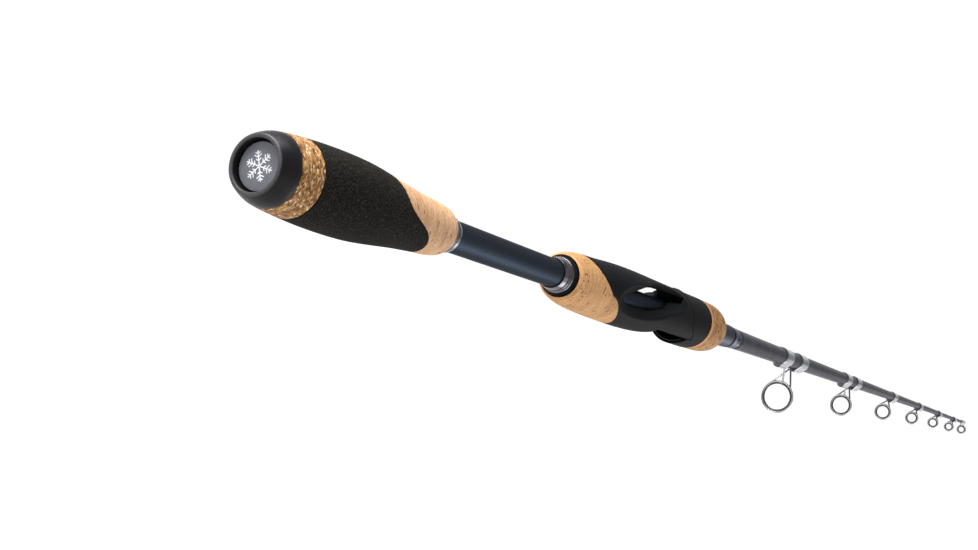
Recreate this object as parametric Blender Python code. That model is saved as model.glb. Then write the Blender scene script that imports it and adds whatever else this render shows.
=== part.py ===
"""Ice fishing rod with a split grip and a screw-down spinning reel seat.

Sizes are in millimetres. Stations are measured along the rod from just behind the butt, and heights
from the rod's axis, with the reel and the guides on the underside. The rod frame empty then puts the
world origin on the flat saddle that a reel foot rests on.
"""
import math

import bmesh
import bpy
from mathutils import Vector

MM = 0.001
ROUND = 32                      # facets round a grip
FINE = 20                       # facets round a thin ring

# The rod and its handle tube
ROD_LENGTH = 1067.0             # 42 inches
TUBE_START = 4.7
TUBE_END = 330.2
TUBE_RADIUS_REAR = 5.03
TUBE_RADIUS_FRONT = 4.76
TUBE_BORE = 4.2
BOND = 0.3                      # glue line between neighbours
GRIP_BORE = TUBE_RADIUS_REAR + BOND

# The blank: a long root inside the handle tube, then a plain taper to the tip
BLANK_ROOT_START = 150.0
BLANK_ROOT_RADIUS = 3.9
BLANK_START = 367.4
BLANK_START_RADIUS = 4.72
BLANK_END_RADIUS = 1.1

# The butt
BUTT_PLANE = 0.9
CAP_END = 7.05
CAP_RECESS_FLOOR = 3.7
BADGE_RADIUS = 6.1
CORK_RING_END = 15.3
TIP_REACH = 1.9                 # the tip top's hoop goes past the end of the blank
BLANK_END = BUTT_PLANE + ROD_LENGTH - TIP_REACH

# The reel seat
SADDLE_DEPTH = 6.8              # flat saddle below the axis
SADDLE_END = 287.0              # the saddle stands proud by a small step between the two hoods
SADDLE_STEP = 0.2
SEAT_BORE = 5.8
SEAT_WALL_RADIUS = 10.2         # inside of both hoods
POCKET_START = 236.0            # blind end of the fixed hood's pocket
FIXED_LIP_START = 230.0
FIXED_LIP_END = 253.0
SADDLE_POINT = 268.0            # the mount point
HOOD_SPAN = (270.0, 304.0)      # before its rear edge is trimmed to the seat
HOOD_RADIUS = 11.12
HOOD_BORE = 8.6
POCKET_END = 294.0              # blind end of the moving hood's pocket
# The seat's front edge as (station, height), from the spine down to the saddle
SEAT_FRONT = [(275.4, 12.5), (276.2, 11.0), (279.4, 4.7), (282.3, -1.0), (290.0, -5.6),
              (291.8, -SADDLE_DEPTH)]
LIP_SIDE = (287.4, -SADDLE_DEPTH - BOND)    # the moving hood's mouth, at its side and underneath
LIP_BOTTOM = (286.2, -11.3)
LINER_RADIUS = 10.0
LINER_THICKNESS = 0.4

# The threaded barrel and the nut
BARREL_START = 272.0            # before its rear face is trimmed to the seat
BARREL_RADIUS = 8.1
THREAD_DEPTH = 0.55
THREAD_PITCH = 2.0
THREAD_START = 303.0
BARREL_END = 330.0
NUT_START = 304.4
NUT_BORE = 8.35
NUT_CORE_RADIUS = 8.9
NUT_END = 331.2
NECK_START = 299.2              # the nut's neck reaches back into the hood

# Stations and radii of the two grips' outlines
REAR_GRIP = [(15.6, 10.35), (24, 10.81), (34, 11.02), (44, 10.83), (54, 10.03), (64, 9.06),
             (74, 8.34), (82, 7.92), (85.6, 7.45), (87.2, 6.85), (87.9, 6.1)]
FORE_GRIP = [(172.3, 7.55), (173, 8.3), (176, 9.05), (181, 9.74), (188, 10.14), (196, 10.48),
             (208, 10.94), (221, 11.22), (236, 11.28), (251, 11.18), (270, 11.1), (304, 11.1)]

# Guides: station, ring outer radius, ring centre's height below the blank's surface, two feet
GUIDES = [(470, 8.0, 17.0, True), (608, 6.0, 12.5, True), (728, 5.0, 9.5, False),
          (832, 4.2, 8.0, False), (922, 3.7, 7.0, False), (1000, 3.4, 6.4, False)]
RING_THICKNESS = 1.15           # ceramic ring, across its section
FRAME_THICKNESS = 0.8


# ---------------------------------------------------------------- helpers
def clear_scene():
    for thing in list(bpy.data.objects):
        bpy.data.objects.remove(thing, do_unlink=True)


def make_material(name, colour, roughness, metallic=0.0):
    material = bpy.data.materials.new(name)
    material.use_nodes = True
    shader = material.node_tree.nodes["Principled BSDF"]
    shader.inputs["Base Color"].default_value = (*colour, 1.0)
    shader.inputs["Roughness"].default_value = roughness
    shader.inputs["Metallic"].default_value = metallic
    return material


def make_empty(name, station, parent=None):
    empty = bpy.data.objects.new(name, None)
    empty.empty_display_size = 0.02
    empty.location = (station * MM, 0, 0)
    empty.parent = parent
    bpy.context.collection.objects.link(empty)
    return empty


def make_object(name, points, faces, material, parent, sharp_degrees=35):
    """A mesh from points in millimetres in the rod's frame, hung on its parent empty."""
    offset = Vector(parent.location) if parent.parent else Vector()
    mesh = bpy.data.meshes.new(name)
    mesh.from_pydata([Vector(p) * MM - offset for p in points], [], faces)
    shape = bmesh.new()
    shape.from_mesh(mesh)
    bmesh.ops.recalc_face_normals(shape, faces=shape.faces)
    shape.to_mesh(mesh)
    shape.free()
    mesh.materials.append(material)
    mesh.shade_smooth()
    mesh.set_sharp_from_angle(angle=math.radians(sharp_degrees))
    thing = bpy.data.objects.new(name, mesh)
    thing.parent = parent
    bpy.context.collection.objects.link(thing)
    return thing


def ring_point(x, radius, angle, drop=0.0):
    """A point round the axis; angle 0 faces the near side (-Y) and a quarter turn is the spine."""
    return (x, -radius * math.cos(angle), radius * math.sin(angle) - drop)


def angles(count):
    return [2 * math.pi * k / count for k in range(count)]


def revolve(name, outline, material, parent, count=ROUND, drop=0.0):
    """Turns a closed outline of (station, radius) about the axis; radius 0 marks the axis."""
    points = []
    rows = []
    for x, radius in outline:
        if radius == 0:
            rows.append([len(points)] * count)
            points.append((x, 0, -drop))
            continue
        rows.append([len(points) + k for k in range(count)])
        points.extend(ring_point(x, radius, a, drop) for a in angles(count))
    faces = []
    for row, after in zip(rows, rows[1:] + rows[:1]):
        for k in range(count):
            n = (k + 1) % count
            corners = [row[k], row[n], after[n], after[k]]
            face = list(dict.fromkeys(corners))
            if len(face) > 2:
                faces.append(face)
    return make_object(name, points, faces, material, parent)


def curve_through(outline):
    """A smooth radius for any station, through the outline's points."""
    def radius(x):
        if x <= outline[0][0]:
            return outline[0][1]
        if x >= outline[-1][0]:
            return outline[-1][1]
        k = max(i for i, (station, _) in enumerate(outline) if station <= x)
        k = min(k, len(outline) - 2)
        (x0, r0), (x1, r1) = outline[k], outline[k + 1]
        before = outline[k - 1] if k else outline[k]
        after = outline[k + 2] if k + 2 < len(outline) else outline[k + 1]
        slope0 = (r1 - before[1]) / (x1 - before[0])
        slope1 = (after[1] - r0) / (after[0] - x0)
        span = x1 - x0
        t = (x - x0) / span
        return (r0 * (2 * t**3 - 3 * t**2 + 1) + r1 * (3 * t**2 - 2 * t**3)
                + slope0 * span * (t**3 - 2 * t**2 + t) + slope1 * span * (t**3 - t**2))
    return radius


def sleeve(name, start, end, steps, outer, inner, material, parent, count=ROUND, end_rings=3):
    """A grip whose end faces may slant or curve.

    start and end give the station of a face at a height; outer and inner give the radius at a
    station and angle; steps are the fractions of the length where the skin has a ring of points.
    """
    around = angles(count)

    def on_face(face, angle, part):
        radius = outer(face(0), angle)
        for _ in range(12):
            radius = outer(face(radius * math.sin(angle)), angle)
        bore = inner(face(0), angle)
        radius = bore + (radius - bore) * part
        return face(radius * math.sin(angle)), radius

    rows = []
    for step in steps:
        row = []
        for angle in around:
            first = on_face(start, angle, 1.0)[0]
            last = on_face(end, angle, 1.0)[0]
            x = first + (last - first) * step
            row.append(ring_point(x, outer(x, angle), angle))
        rows.append(row)
    for k in range(end_rings, -1, -1):
        if k < end_rings:
            rows.append([ring_point(*on_face(end, a, k / end_rings), a) for a in around])
    for k in range(end_rings):
        rows.append([ring_point(*on_face(start, a, k / end_rings), a) for a in around])
    points = [point for row in rows for point in row]
    faces = []
    for k in range(len(rows)):
        after = (k + 1) % len(rows)
        for j in range(count):
            n = (j + 1) % count
            faces.append([k * count + j, k * count + n, after * count + n, after * count + j])
    return make_object(name, points, faces, material, parent)


def prism(name, outline, axis, low, high, material, parent):
    """Extrudes a flat outline along X or Y. Along X its points are (y, z), along Y (x, z)."""
    ends = []
    for place in (low, high):
        if axis == "X":
            ends.append([(place, u, v) for u, v in outline])
        else:
            ends.append([(u, place, v) for u, v in outline])
    count = len(outline)
    faces = [list(range(count)), list(range(count, 2 * count))]
    for k in range(count):
        n = (k + 1) % count
        faces.append([k, n, n + count, k + count])
    return make_object(name, ends[0] + ends[1], faces, material, parent)


def ellipsoid(name, centre, axes, lean_degrees, material, parent):
    shape = bmesh.new()
    bmesh.ops.create_uvsphere(shape, u_segments=28, v_segments=18, radius=1.0)
    lean = math.radians(lean_degrees)
    points = []
    for vertex in shape.verts:
        x, y, z = (vertex.co[k] * axes[k] for k in range(3))
        points.append((centre[0] + x * math.cos(lean) - z * math.sin(lean), centre[1] + y,
                       centre[2] + x * math.sin(lean) + z * math.cos(lean)))
    faces = [[v.index for v in face.verts] for face in shape.faces]
    shape.free()
    return make_object(name, points, faces, material, parent)


def strap(name, path, width, thickness, material, parent, sideways=Vector((0, 1, 0))):
    """A flat bar of rectangular section that follows a path of points."""
    points = []
    path = [Vector(p) for p in path]
    for k, place in enumerate(path):
        along = (path[min(k + 1, len(path) - 1)] - path[max(k - 1, 0)]).normalized()
        side = (sideways - along * sideways.dot(along)).normalized() * width / 2
        up = side.cross(along).normalized() * thickness / 2
        points.extend([place + side + up, place - side + up, place - side - up, place + side - up])
    faces = [[3, 2, 1, 0], [len(points) - 4 + k for k in range(4)]]
    for k in range(len(path) - 1):
        for j in range(4):
            n = (j + 1) % 4
            faces.append([4 * k + j, 4 * k + n, 4 * k + 4 + n, 4 * k + 4 + j])
    return make_object(name, points, faces, material, parent)


def combine(target, operand, operation):
    operand.hide_render = True
    operand.display_type = "WIRE"
    operand.hide_set(True)
    modifier = target.modifiers.new(operation.title() + "_" + operand.name, "BOOLEAN")
    modifier.operation = operation
    modifier.solver = "EXACT"
    modifier.object = operand


def tube_radius(x):
    part = (x - TUBE_START) / (TUBE_END - TUBE_START)
    return TUBE_RADIUS_REAR + (TUBE_RADIUS_FRONT - TUBE_RADIUS_REAR) * part


def blank_radius(x):
    part = (x - BLANK_START) / (BLANK_END - BLANK_START)
    return BLANK_START_RADIUS + (BLANK_END_RADIUS - BLANK_START_RADIUS) * part


# ---------------------------------------------------------------- the rod's own frame
clear_scene()
FORE_OUTLINE = curve_through(FORE_GRIP)
rod = make_empty("rod_frame", 0)
rod.location = (-SADDLE_POINT * MM, 0, SADDLE_DEPTH * MM)
hood_axis = make_empty("hood_slide_axis", HOOD_SPAN[1], rod)
nut_axis = make_empty("nut_spin_axis", NUT_START, rod)

RUBBER = make_material("black_rubber", (0.025, 0.025, 0.028), 0.5)
BADGE = make_material("grey_badge", (0.22, 0.22, 0.25), 0.4)
BURL = make_material("composite_cork", (0.45, 0.27, 0.15), 0.75)
FOAM = make_material("black_foam", (0.017, 0.016, 0.014), 0.85)
CORK = make_material("natural_cork", (0.68, 0.49, 0.32), 0.7)
CHROME = make_material("chrome", (0.75, 0.75, 0.78), 0.12, 1.0)
BAND = make_material("grey_band", (0.16, 0.14, 0.15), 0.35)
TUBE_BLUE = make_material("blue_tube", (0.03, 0.045, 0.065), 0.3)
PLASTIC = make_material("soft_black", (0.05, 0.05, 0.052), 0.55)
ARBOR = make_material("fibre_arbor", (0.62, 0.6, 0.52), 0.8)
STEEL = make_material("steel", (0.6, 0.6, 0.6), 0.3, 1.0)
NUT_METAL = make_material("nut_metal", (0.05, 0.05, 0.06), 0.35, 1.0)
COLLAR = make_material("silver_blue", (0.25, 0.28, 0.33), 0.28, 0.8)
BLACK_GLOSS = make_material("black_gloss", (0.012, 0.012, 0.015), 0.15)
MARBLE = make_material("silver_marble", (0.45, 0.47, 0.52), 0.12, 0.4)
BLANK = make_material("grey_blue_blank", (0.06, 0.065, 0.075), 0.12)
CERAMIC = make_material("dark_ceramic", (0.02, 0.02, 0.024), 0.08)
WRAP = make_material("dark_wrap", (0.018, 0.024, 0.04), 0.1)
CUTTER = make_material("cutter", (0.8, 0.1, 0.1), 0.5)


# ---------------------------------------------------------------- butt
def build_butt():
    wall = [(CAP_RECESS_FLOOR + 0.7, 0), (CAP_RECESS_FLOOR + 0.7, GRIP_BORE), (CAP_END, GRIP_BORE)]
    flare = [(CAP_END, 9.55), (5.6, 9.3), (4.2, 8.9), (2.9, 8.35), (1.9, 7.85), (1.2, 7.55),
             (BUTT_PLANE, 7.25)]
    recess = [(BUTT_PLANE, 6.8), (1.1, 6.65), (CAP_RECESS_FLOOR, 6.35), (CAP_RECESS_FLOOR, 0)]
    revolve("butt_cap", wall + flare + recess, RUBBER, rod)
    front = CAP_RECESS_FLOOR - BOND
    revolve("butt_badge", [(front - 0.5, 0), (front - 0.5, BADGE_RADIUS - 0.15),
                           (front - 0.35, BADGE_RADIUS), (front, BADGE_RADIUS), (front, 0)], BADGE, rod)
    revolve("butt_plug", [(5.0, 0), (5.0, 3.9), (16, 3.9), (17, 3.3), (17, 0)], PLASTIC, rod, FINE)
    start = CAP_END + BOND
    revolve("rear_composite_ring", [(start, GRIP_BORE), (start, 9.6), (11.3, 10.0),
                                    (CORK_RING_END, 10.33), (CORK_RING_END, GRIP_BORE)], BURL, rod)


# ---------------------------------------------------------------- rear grip
def rear_seam(height):
    """The S-shaped joint where the cork meets the foam: the foam runs further on the underside."""
    return 64.2 - 0.5 * height - 7.9 * math.tanh((height - 0.3) / 3.0)


def build_rear_grip():
    skin = curve_through(REAR_GRIP)
    foam_start = REAR_GRIP[0][0]
    cork_end = REAR_GRIP[-1][0]

    def outer(x, angle):
        return skin(x)

    def bore(x, angle):
        return GRIP_BORE

    sleeve("rear_foam_grip", lambda z: foam_start, rear_seam, [0, 0.2, 0.4, 0.6, 0.8, 1], outer,
           bore, FOAM, rod)
    sleeve("rear_cork_grip", lambda z: rear_seam(z) + 2 * BOND, lambda z: cork_end,
           [0, 0.2, 0.4, 0.6, 0.78, 0.9, 0.97, 1], outer, bore, CORK, rod)
    band = cork_end + BOND
    revolve("rear_check_band", [(band, GRIP_BORE), (band, 6.1), (89.2, 6.0), (90.1, 5.75),
                                (90.1, GRIP_BORE)], BAND, rod, FINE)
    revolve("rear_check_ring", [(90.4, GRIP_BORE), (90.4, 5.75), (91.6, 5.72), (92.4, 5.5),
                                (92.4, GRIP_BORE)], CHROME, rod, FINE)


# ---------------------------------------------------------------- tube and front checks
def build_tube():
    revolve("handle_tube", [(TUBE_START, TUBE_BORE), (TUBE_START, TUBE_RADIUS_REAR),
                            (120, tube_radius(120)), (230, tube_radius(230)),
                            (TUBE_END, TUBE_RADIUS_FRONT), (TUBE_END, TUBE_BORE)], TUBE_BLUE, rod, FINE)
    bore = GRIP_BORE - 0.15
    rings = [("fore_check_ring", CHROME, 165.5, 167.8, 5.4, 5.85),
             ("fore_check_band", BAND, 168.1, 169.4, 5.9, 6.15),
             ("fore_check_outer_ring", CHROME, 169.7, 170.5, 6.2, 6.45)]
    for name, material, start, end, near, far in rings:
        revolve(name, [(start, bore), (start, near), (end, far), (end, bore)], material, rod, FINE)
    revolve("fore_recess_cup", [(170.8, bore), (170.8, 6.55), (171.3, 6.9), (172.1, 7.1), (174.6, 7.1),
                                (174.6, bore)], PLASTIC, rod, FINE)


# ---------------------------------------------------------------- fore grip and reel seat
def fore_seam(height):
    """The slanted joint of the fore cork and the seat: the cork runs further on the underside."""
    return 198.5 - 1.5 * height - 1.7 * math.tanh((height + 0.8) / 0.9)


def hood_pocket_outline(radius, drop=SADDLE_DEPTH):
    """The D-shaped section of a hood's pocket: a flat saddle above and an arc below, as (y, z)."""
    half = math.acos(drop / radius)
    arc = []
    for k in range(13):
        angle = half * (2 * k / 12 - 1)
        arc.append((radius * math.sin(angle), -radius * math.cos(angle)))
    return arc


def fore_skin(x, angle):
    """The fore grip and the seat sag a little below the axis behind the windows."""
    sag = 0.3 * math.exp(-((x - 192) / 16)**2)
    return FORE_OUTLINE(x) - sag * math.sin(angle)


def build_fore_grip():
    cup_seat = 174.9

    def bore(x, angle):
        return GRIP_BORE

    cork_start = FORE_GRIP[0][0]
    grip = sleeve("fore_cork_grip", lambda z: cork_start, lambda z: fore_seam(z) - 2 * BOND,
                  [0, 0.02, 0.06, 0.14, 0.28, 0.5, 0.75, 1], fore_skin, bore, CORK, rod)
    pocket = revolve("cut_cup_pocket", [(170, 0), (170, 7.4), (cup_seat, 7.4), (cup_seat, 0)],
                     CUTTER, rod, FINE)
    combine(grip, pocket, "DIFFERENCE")


def build_seat_body():
    def bore(x, angle):
        return SEAT_BORE

    seat_end = 296.0
    body = sleeve("seat_body", fore_seam, lambda z: seat_end, [0, 0.13, 0.26, 0.4, 0.55, 1],
                  fore_skin, bore, PLASTIC, rod)
    trim = [(300, 12.5)] + SEAT_FRONT + [(SEAT_FRONT[-1][0], -14), (300, -14)]
    combine(body, prism("cut_seat_front", trim, "Y", -13, 13, CUTTER, rod), "DIFFERENCE")
    for side in (-1, 1):
        scoop = ellipsoid("cut_scoop_" + ("near" if side < 0 else "far"), (231.2, side * 16, 2.2),
                          (30.8, 11.5, 8.0), 6, CUTTER, rod)
        trough = ellipsoid("cut_trough_" + ("near" if side < 0 else "far"), (251, side * 12.0, 6.1),
                           (30, 9.2, 6.2), 7.5, CUTTER, rod)
        combine(body, scoop, "DIFFERENCE")
        combine(body, trough, "DIFFERENCE")
    window = [(217.5, 1.2), (221, 3.7), (225, 5.2), (229, 6.4), (235, 7.4), (242, 7.8), (262, 7.8),
              (275, 7.5), (276, 6.9), (274, 6.2), (266, 5.2), (259, 3.4), (253, 1.5), (243, -0.3),
              (235, -1.4), (226, -1.6), (219, -0.6)]
    combine(body, prism("cut_window", window, "Y", -14, 14, CUTTER, rod), "DIFFERENCE")
    pocket = prism("cut_fixed_pocket", hood_pocket_outline(SEAT_WALL_RADIUS, SADDLE_DEPTH - SADDLE_STEP),
                   "X", POCKET_START, FIXED_LIP_END, CUTTER, rod)
    combine(body, pocket, "DIFFERENCE")
    depth = 11.3 - SADDLE_DEPTH
    reach = FIXED_LIP_END - FIXED_LIP_START
    lip = []
    for k in range(9):
        angle = math.radians(90) * k / 8
        lip.append((FIXED_LIP_START + reach * math.sin(angle), -SADDLE_DEPTH - depth * math.cos(angle)))
    raised = -SADDLE_DEPTH + SADDLE_STEP
    under = lip + [(SADDLE_END, -SADDLE_DEPTH), (SADDLE_END, raised), (300, raised), (300, -14),
                   (FIXED_LIP_START, -14)]
    combine(body, prism("cut_saddle", under, "Y", -13, 13, CUTTER, rod), "DIFFERENCE")


def thread_height(x, angle):
    """The crest height of the right-hand thread, tapering out at both ends."""
    turn = (x - THREAD_START) / THREAD_PITCH + angle / (2 * math.pi)
    ridge = 1 - abs(2 * (turn % 1.0) - 1)
    run_in = min(1.0, (x - THREAD_START) / THREAD_PITCH, (BARREL_END - 0.4 - x) / THREAD_PITCH)
    return THREAD_DEPTH * ridge * max(0.0, run_in)


def build_barrel():
    """The barrel that the hood slides on and the nut turns on, flat underneath for the reel foot."""
    root = BARREL_RADIUS - THREAD_DEPTH
    flat_half = math.acos(SADDLE_DEPTH / BARREL_RADIUS)
    around = []
    side_facets = 26
    flat_facets = 4
    for k in range(side_facets):
        around.append(-math.pi / 2 + flat_half + (2 * math.pi - 2 * flat_half) * k / side_facets)
    for k in range(flat_facets):
        around.append(-math.pi / 2 - flat_half + 2 * flat_half * k / flat_facets)

    def surface(x, angle, radius):
        below = -math.sin(angle)
        if below > 0 and radius * below > SADDLE_DEPTH:
            return SADDLE_DEPTH / below
        return radius

    stations = [(BARREL_START, BARREL_RADIUS), (THREAD_START - 1.2, BARREL_RADIUS),
                (THREAD_START - 0.6, root)]
    steps = int((BARREL_END - THREAD_START) / THREAD_PITCH * 3)
    stations += [(THREAD_START + THREAD_PITCH * k / 3, None) for k in range(steps + 1)]
    rows = []
    for x, fixed in stations:
        row = []
        for angle in around:
            radius = root + thread_height(x, angle) if fixed is None else fixed
            row.append(ring_point(x, surface(x, angle, radius), angle))
        rows.append(row)
    for x in (stations[-1][0], BARREL_START):
        rows.append([ring_point(x, SEAT_BORE, a) for a in around])
    count = len(around)
    points = [p for row in rows for p in row]
    faces = []
    for k in range(len(rows)):
        after = (k + 1) % len(rows)
        for j in range(count):
            n = (j + 1) % count
            faces.append([k * count + j, k * count + n, after * count + n, after * count + j])
    barrel = make_object("threaded_barrel", points, faces, PLASTIC, rod)
    behind = [(270, 12.5)] + [(x + BOND, z) for x, z in SEAT_FRONT]
    behind += [(SEAT_FRONT[-1][0] + BOND, -9), (270, -9)]
    combine(barrel, prism("cut_barrel_rear", behind, "Y", -12, 12, CUTTER, rod), "DIFFERENCE")


def build_arbors():
    arbor_outer = SEAT_BORE - 0.2
    for name, start, end, material in (("seat_arbor", 210.4, 214.0, PLASTIC),
                                       ("barrel_arbor", 293, 328, ARBOR)):
        inner = tube_radius(start) + 0.15
        revolve(name, [(start, inner), (start, arbor_outer), (end, arbor_outer), (end, inner)],
                material, rod, FINE)
    revolve("barrel_end_cap", [(BARREL_END + 0.6, 4.35), (BARREL_END + 0.6, 7.3), (BARREL_END + 1.0, 7.3),
                               (BARREL_END + 1.3, 7.0), (BARREL_END + 1.3, 4.35)], BLACK_GLOSS, rod, FINE)


# ---------------------------------------------------------------- moving hood and nut
def build_hood():
    def outer(x, angle):
        ridge = max(0.0, math.sin(angle))**10
        bump = 0.4 * ridge * math.exp(-((x - 279.0) / 1.7)**2)
        return HOOD_RADIUS + bump

    def inner(x, angle):
        return HOOD_BORE

    start, end = HOOD_SPAN
    hood = sleeve("moving_hood", lambda z: start, lambda z: end, [0, 0.2, 0.26, 0.32, 0.4, 1], outer,
                  inner, PLASTIC, hood_axis, ROUND, 1)
    behind = [(start - 2, 12.5)] + [(x + BOND, z) for x, z in SEAT_FRONT]
    behind += [(SEAT_FRONT[-1][0] + BOND, LIP_SIDE[1]), LIP_SIDE, LIP_BOTTOM, (start - 2, -13)]
    rear_cut = prism("cut_hood_rear", behind, "Y", -12, 12, CUTTER, hood_axis)
    combine(hood, rear_cut, "DIFFERENCE")
    wide = LINER_RADIUS + BOND
    pocket = prism("cut_hood_pocket", hood_pocket_outline(wide, SADDLE_DEPTH - 0.2), "X", 270,
                   POCKET_END, CUTTER, hood_axis)
    combine(hood, pocket, "DIFFERENCE")
    counterbore = revolve("cut_hood_counterbore", [(297.6, 0), (297.6, 9.9), (302, 9.9), (302, 0)],
                          CUTTER, hood_axis, FINE)
    combine(hood, counterbore, "DIFFERENCE")
    mouth = revolve("cut_hood_mouth", [(301, 0), (301, 9.2), (310, 9.2), (310, 0)], CUTTER, hood_axis,
                    FINE)
    combine(hood, mouth, "DIFFERENCE")
    floor = hood_pocket_outline(HOOD_BORE + 0.34, SADDLE_DEPTH + BOND)
    stop = prism("hood_stop", floor, "X", POCKET_END + 0.4, 297.2, PLASTIC, hood_axis)
    combine(hood, stop, "UNION")

    inside = LINER_RADIUS - LINER_THICKNESS
    half = math.acos((SADDLE_DEPTH + 0.5) / LINER_RADIUS)
    section = []
    for radius, order in ((LINER_RADIUS, 1), (inside, -1)):
        for k in range(11):
            angle = half * (2 * k / 10 - 1) * order
            section.append((radius * math.sin(angle), -radius * math.cos(angle)))
    liner = prism("hood_liner", section, "X", start, POCKET_END - BOND, STEEL, hood_axis)
    combine(liner, rear_cut, "DIFFERENCE")


def build_nut():
    start = NUT_START
    core = [(NECK_START, NUT_BORE), (NECK_START, NUT_CORE_RADIUS), (326, NUT_CORE_RADIUS), (326, NUT_BORE)]
    revolve("nut_core", core, NUT_METAL, nut_axis)
    bore = NUT_CORE_RADIUS + 0.2
    revolve("nut_cork", [(start, bore), (start, 10.95), (311, 11.0), (317, 10.95), (321.5, 10.78),
                         (325, 10.3), (328, 9.6), (330.2, 8.95), (NUT_END, 8.6), (NUT_END, NUT_BORE),
                         (326.4, NUT_BORE), (326.4, bore)], CORK, nut_axis)
    revolve("nut_retaining_ring", [(300.2, 9.05), (300.2, 9.7), (301.1, 9.7), (301.1, 9.05)], STEEL,
            nut_axis, FINE)


# ---------------------------------------------------------------- foregrip trim and blank
def build_trim():
    bore = BLANK_ROOT_RADIUS + BOND
    revolve("fore_collar", [(331.6, bore), (331.6, 4.9), (332.2, 5.0), (353.9, 4.95), (354.4, 4.85),
                            (354.4, bore)], COLLAR, rod, FINE)
    revolve("trim_black_line", [(354.7, bore), (354.7, 4.9), (355.6, 4.9), (355.6, bore)], BLACK_GLOSS,
            rod, FINE)
    revolve("trim_wrap", [(355.9, bore), (355.9, 4.86), (366.9, 4.8), (366.9, bore)], MARBLE, rod, FINE)
    start = BLANK_START - 0.2
    revolve("blank", [(BLANK_ROOT_START, 0), (BLANK_ROOT_START, 3.0), (BLANK_ROOT_START + 3, 3.9),
                      (start, BLANK_ROOT_RADIUS), (start, BLANK_START_RADIUS),
                      (600, blank_radius(600)), (830, blank_radius(830)),
                      (BLANK_END, BLANK_END_RADIUS), (BLANK_END, 0)], BLANK, rod, FINE)


# ---------------------------------------------------------------- guides and tip
def build_wrap(name, near, far, foot_end, foot_drop, foot_width):
    """Thread and varnish round the blank, raised on the underside where it covers a guide foot.

    near is the wrap's end beside the ring and far its other end, past the end of the foot.
    """
    way = 1 if far > near else -1
    length = abs(far - near)

    def raised(x, angle):
        under = min(1.0, max(0.0, -3.0 * math.sin(angle)))
        across = blank_radius(x) * math.cos(angle) / (foot_width / 2 + 1.1)
        past_foot = min(1.0, max(0.0, 1.0 - way * (x - foot_end - way * 0.6) / 1.2))
        return 1.3 * under * math.exp(-across**4) * past_foot

    def outer(x, angle):
        ends = min(1.0, abs(x - near) / 1.5 + 0.4, abs(far - x) / 1.5 + 0.3)
        return blank_radius(x) + 0.15 + 0.4 * ends + raised(x, angle)

    def inner(x, angle):
        return blank_radius(x) + 0.12

    steps = [0, 1.5 / length, 1 - 2.0 / length, 1 - 0.7 / length, 1]
    if way < 0:
        steps = [1 - step for step in reversed(steps)]
    low, high = sorted((near, far))
    wrap = sleeve(name, lambda z: low, lambda z: high, steps, outer, inner, WRAP, rod, 20, 1)
    path = []
    for x in sorted((near - way * 3, foot_end + way * 0.4)):
        path.append((x, 0, -blank_radius(x) - foot_drop))
    slot = strap("cut_" + name, path, foot_width + 0.5, 1.15, CUTTER, rod)
    combine(wrap, slot, "DIFFERENCE")


def build_guide(index, station, ring_radius, drop, two_feet):
    name = "guide_" + str(index)
    surface = blank_radius(station)
    centre = surface + drop
    hoop_inner = ring_radius + 0.12
    hoop_outer = ring_radius + FRAME_THICKNESS
    half = FRAME_THICKNESS / 2 + 0.2
    frame = revolve(name + "_frame", [(station - half, hoop_inner), (station - half, hoop_outer),
                                      (station + half, hoop_outer), (station + half, hoop_inner)],
                    STEEL, rod, FINE, centre)
    ring_inner = ring_radius - RING_THICKNESS
    middle = ring_radius - RING_THICKNESS / 2
    wide = RING_THICKNESS * 0.55
    revolve(name + "_ring", [(station - wide, middle + 0.25), (station, ring_radius),
                             (station + wide, middle + 0.25), (station + wide * 0.75, ring_inner + 0.22),
                             (station, ring_inner), (station - wide * 0.75, ring_inner + 0.22)],
            CERAMIC, rod, FINE, centre)
    foot_length = 9 + ring_radius * 0.6
    knee = 2.5 + ring_radius * 0.45
    foot_drop = 0.62
    foot_width = 1.15 + 0.08 * ring_radius
    spread = math.radians(38)
    grip = ring_radius + FRAME_THICKNESS / 2
    pieces = []
    feet = (1, -1) if two_feet else (1,)
    for way in feet:
        foot = []
        for along in (knee - 0.6, knee + foot_length):
            x = station + way * along
            foot.append((x, 0, -blank_radius(x) - foot_drop))
        label = "_front" if way > 0 else "_rear"
        pieces.append(strap("add_" + name + label + "_foot", foot, foot_width, 0.6, STEEL, rod))
        sides = (-1, 1) if way > 0 else (0,)
        for side in sides:
            end = Vector((station, grip * math.sin(spread) * side, -centre + grip * math.cos(spread * side)))
            first = Vector((station + way * (knee + 1.0), side * 0.23, -surface - foot_drop - 0.05))
            bend = Vector((station + way * (knee - 1.2), side * 0.6, -surface - foot_drop - 0.8))
            tag = {-1: "_near", 0: "_mid", 1: "_far"}[side]
            pieces.append(strap("add_" + name + label + tag + "_leg", [first, bend, end], 0.95, 0.62,
                                STEEL, rod))
    for piece in pieces:
        combine(frame, piece, "UNION")
    for way in feet:
        foot_end = station + way * (knee + foot_length)
        label = "_wrap" if way > 0 else "_rear_wrap"
        build_wrap(name + label, station + way * (knee + 1.6), foot_end + way * 2.5, foot_end, foot_drop,
                   foot_width)


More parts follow.
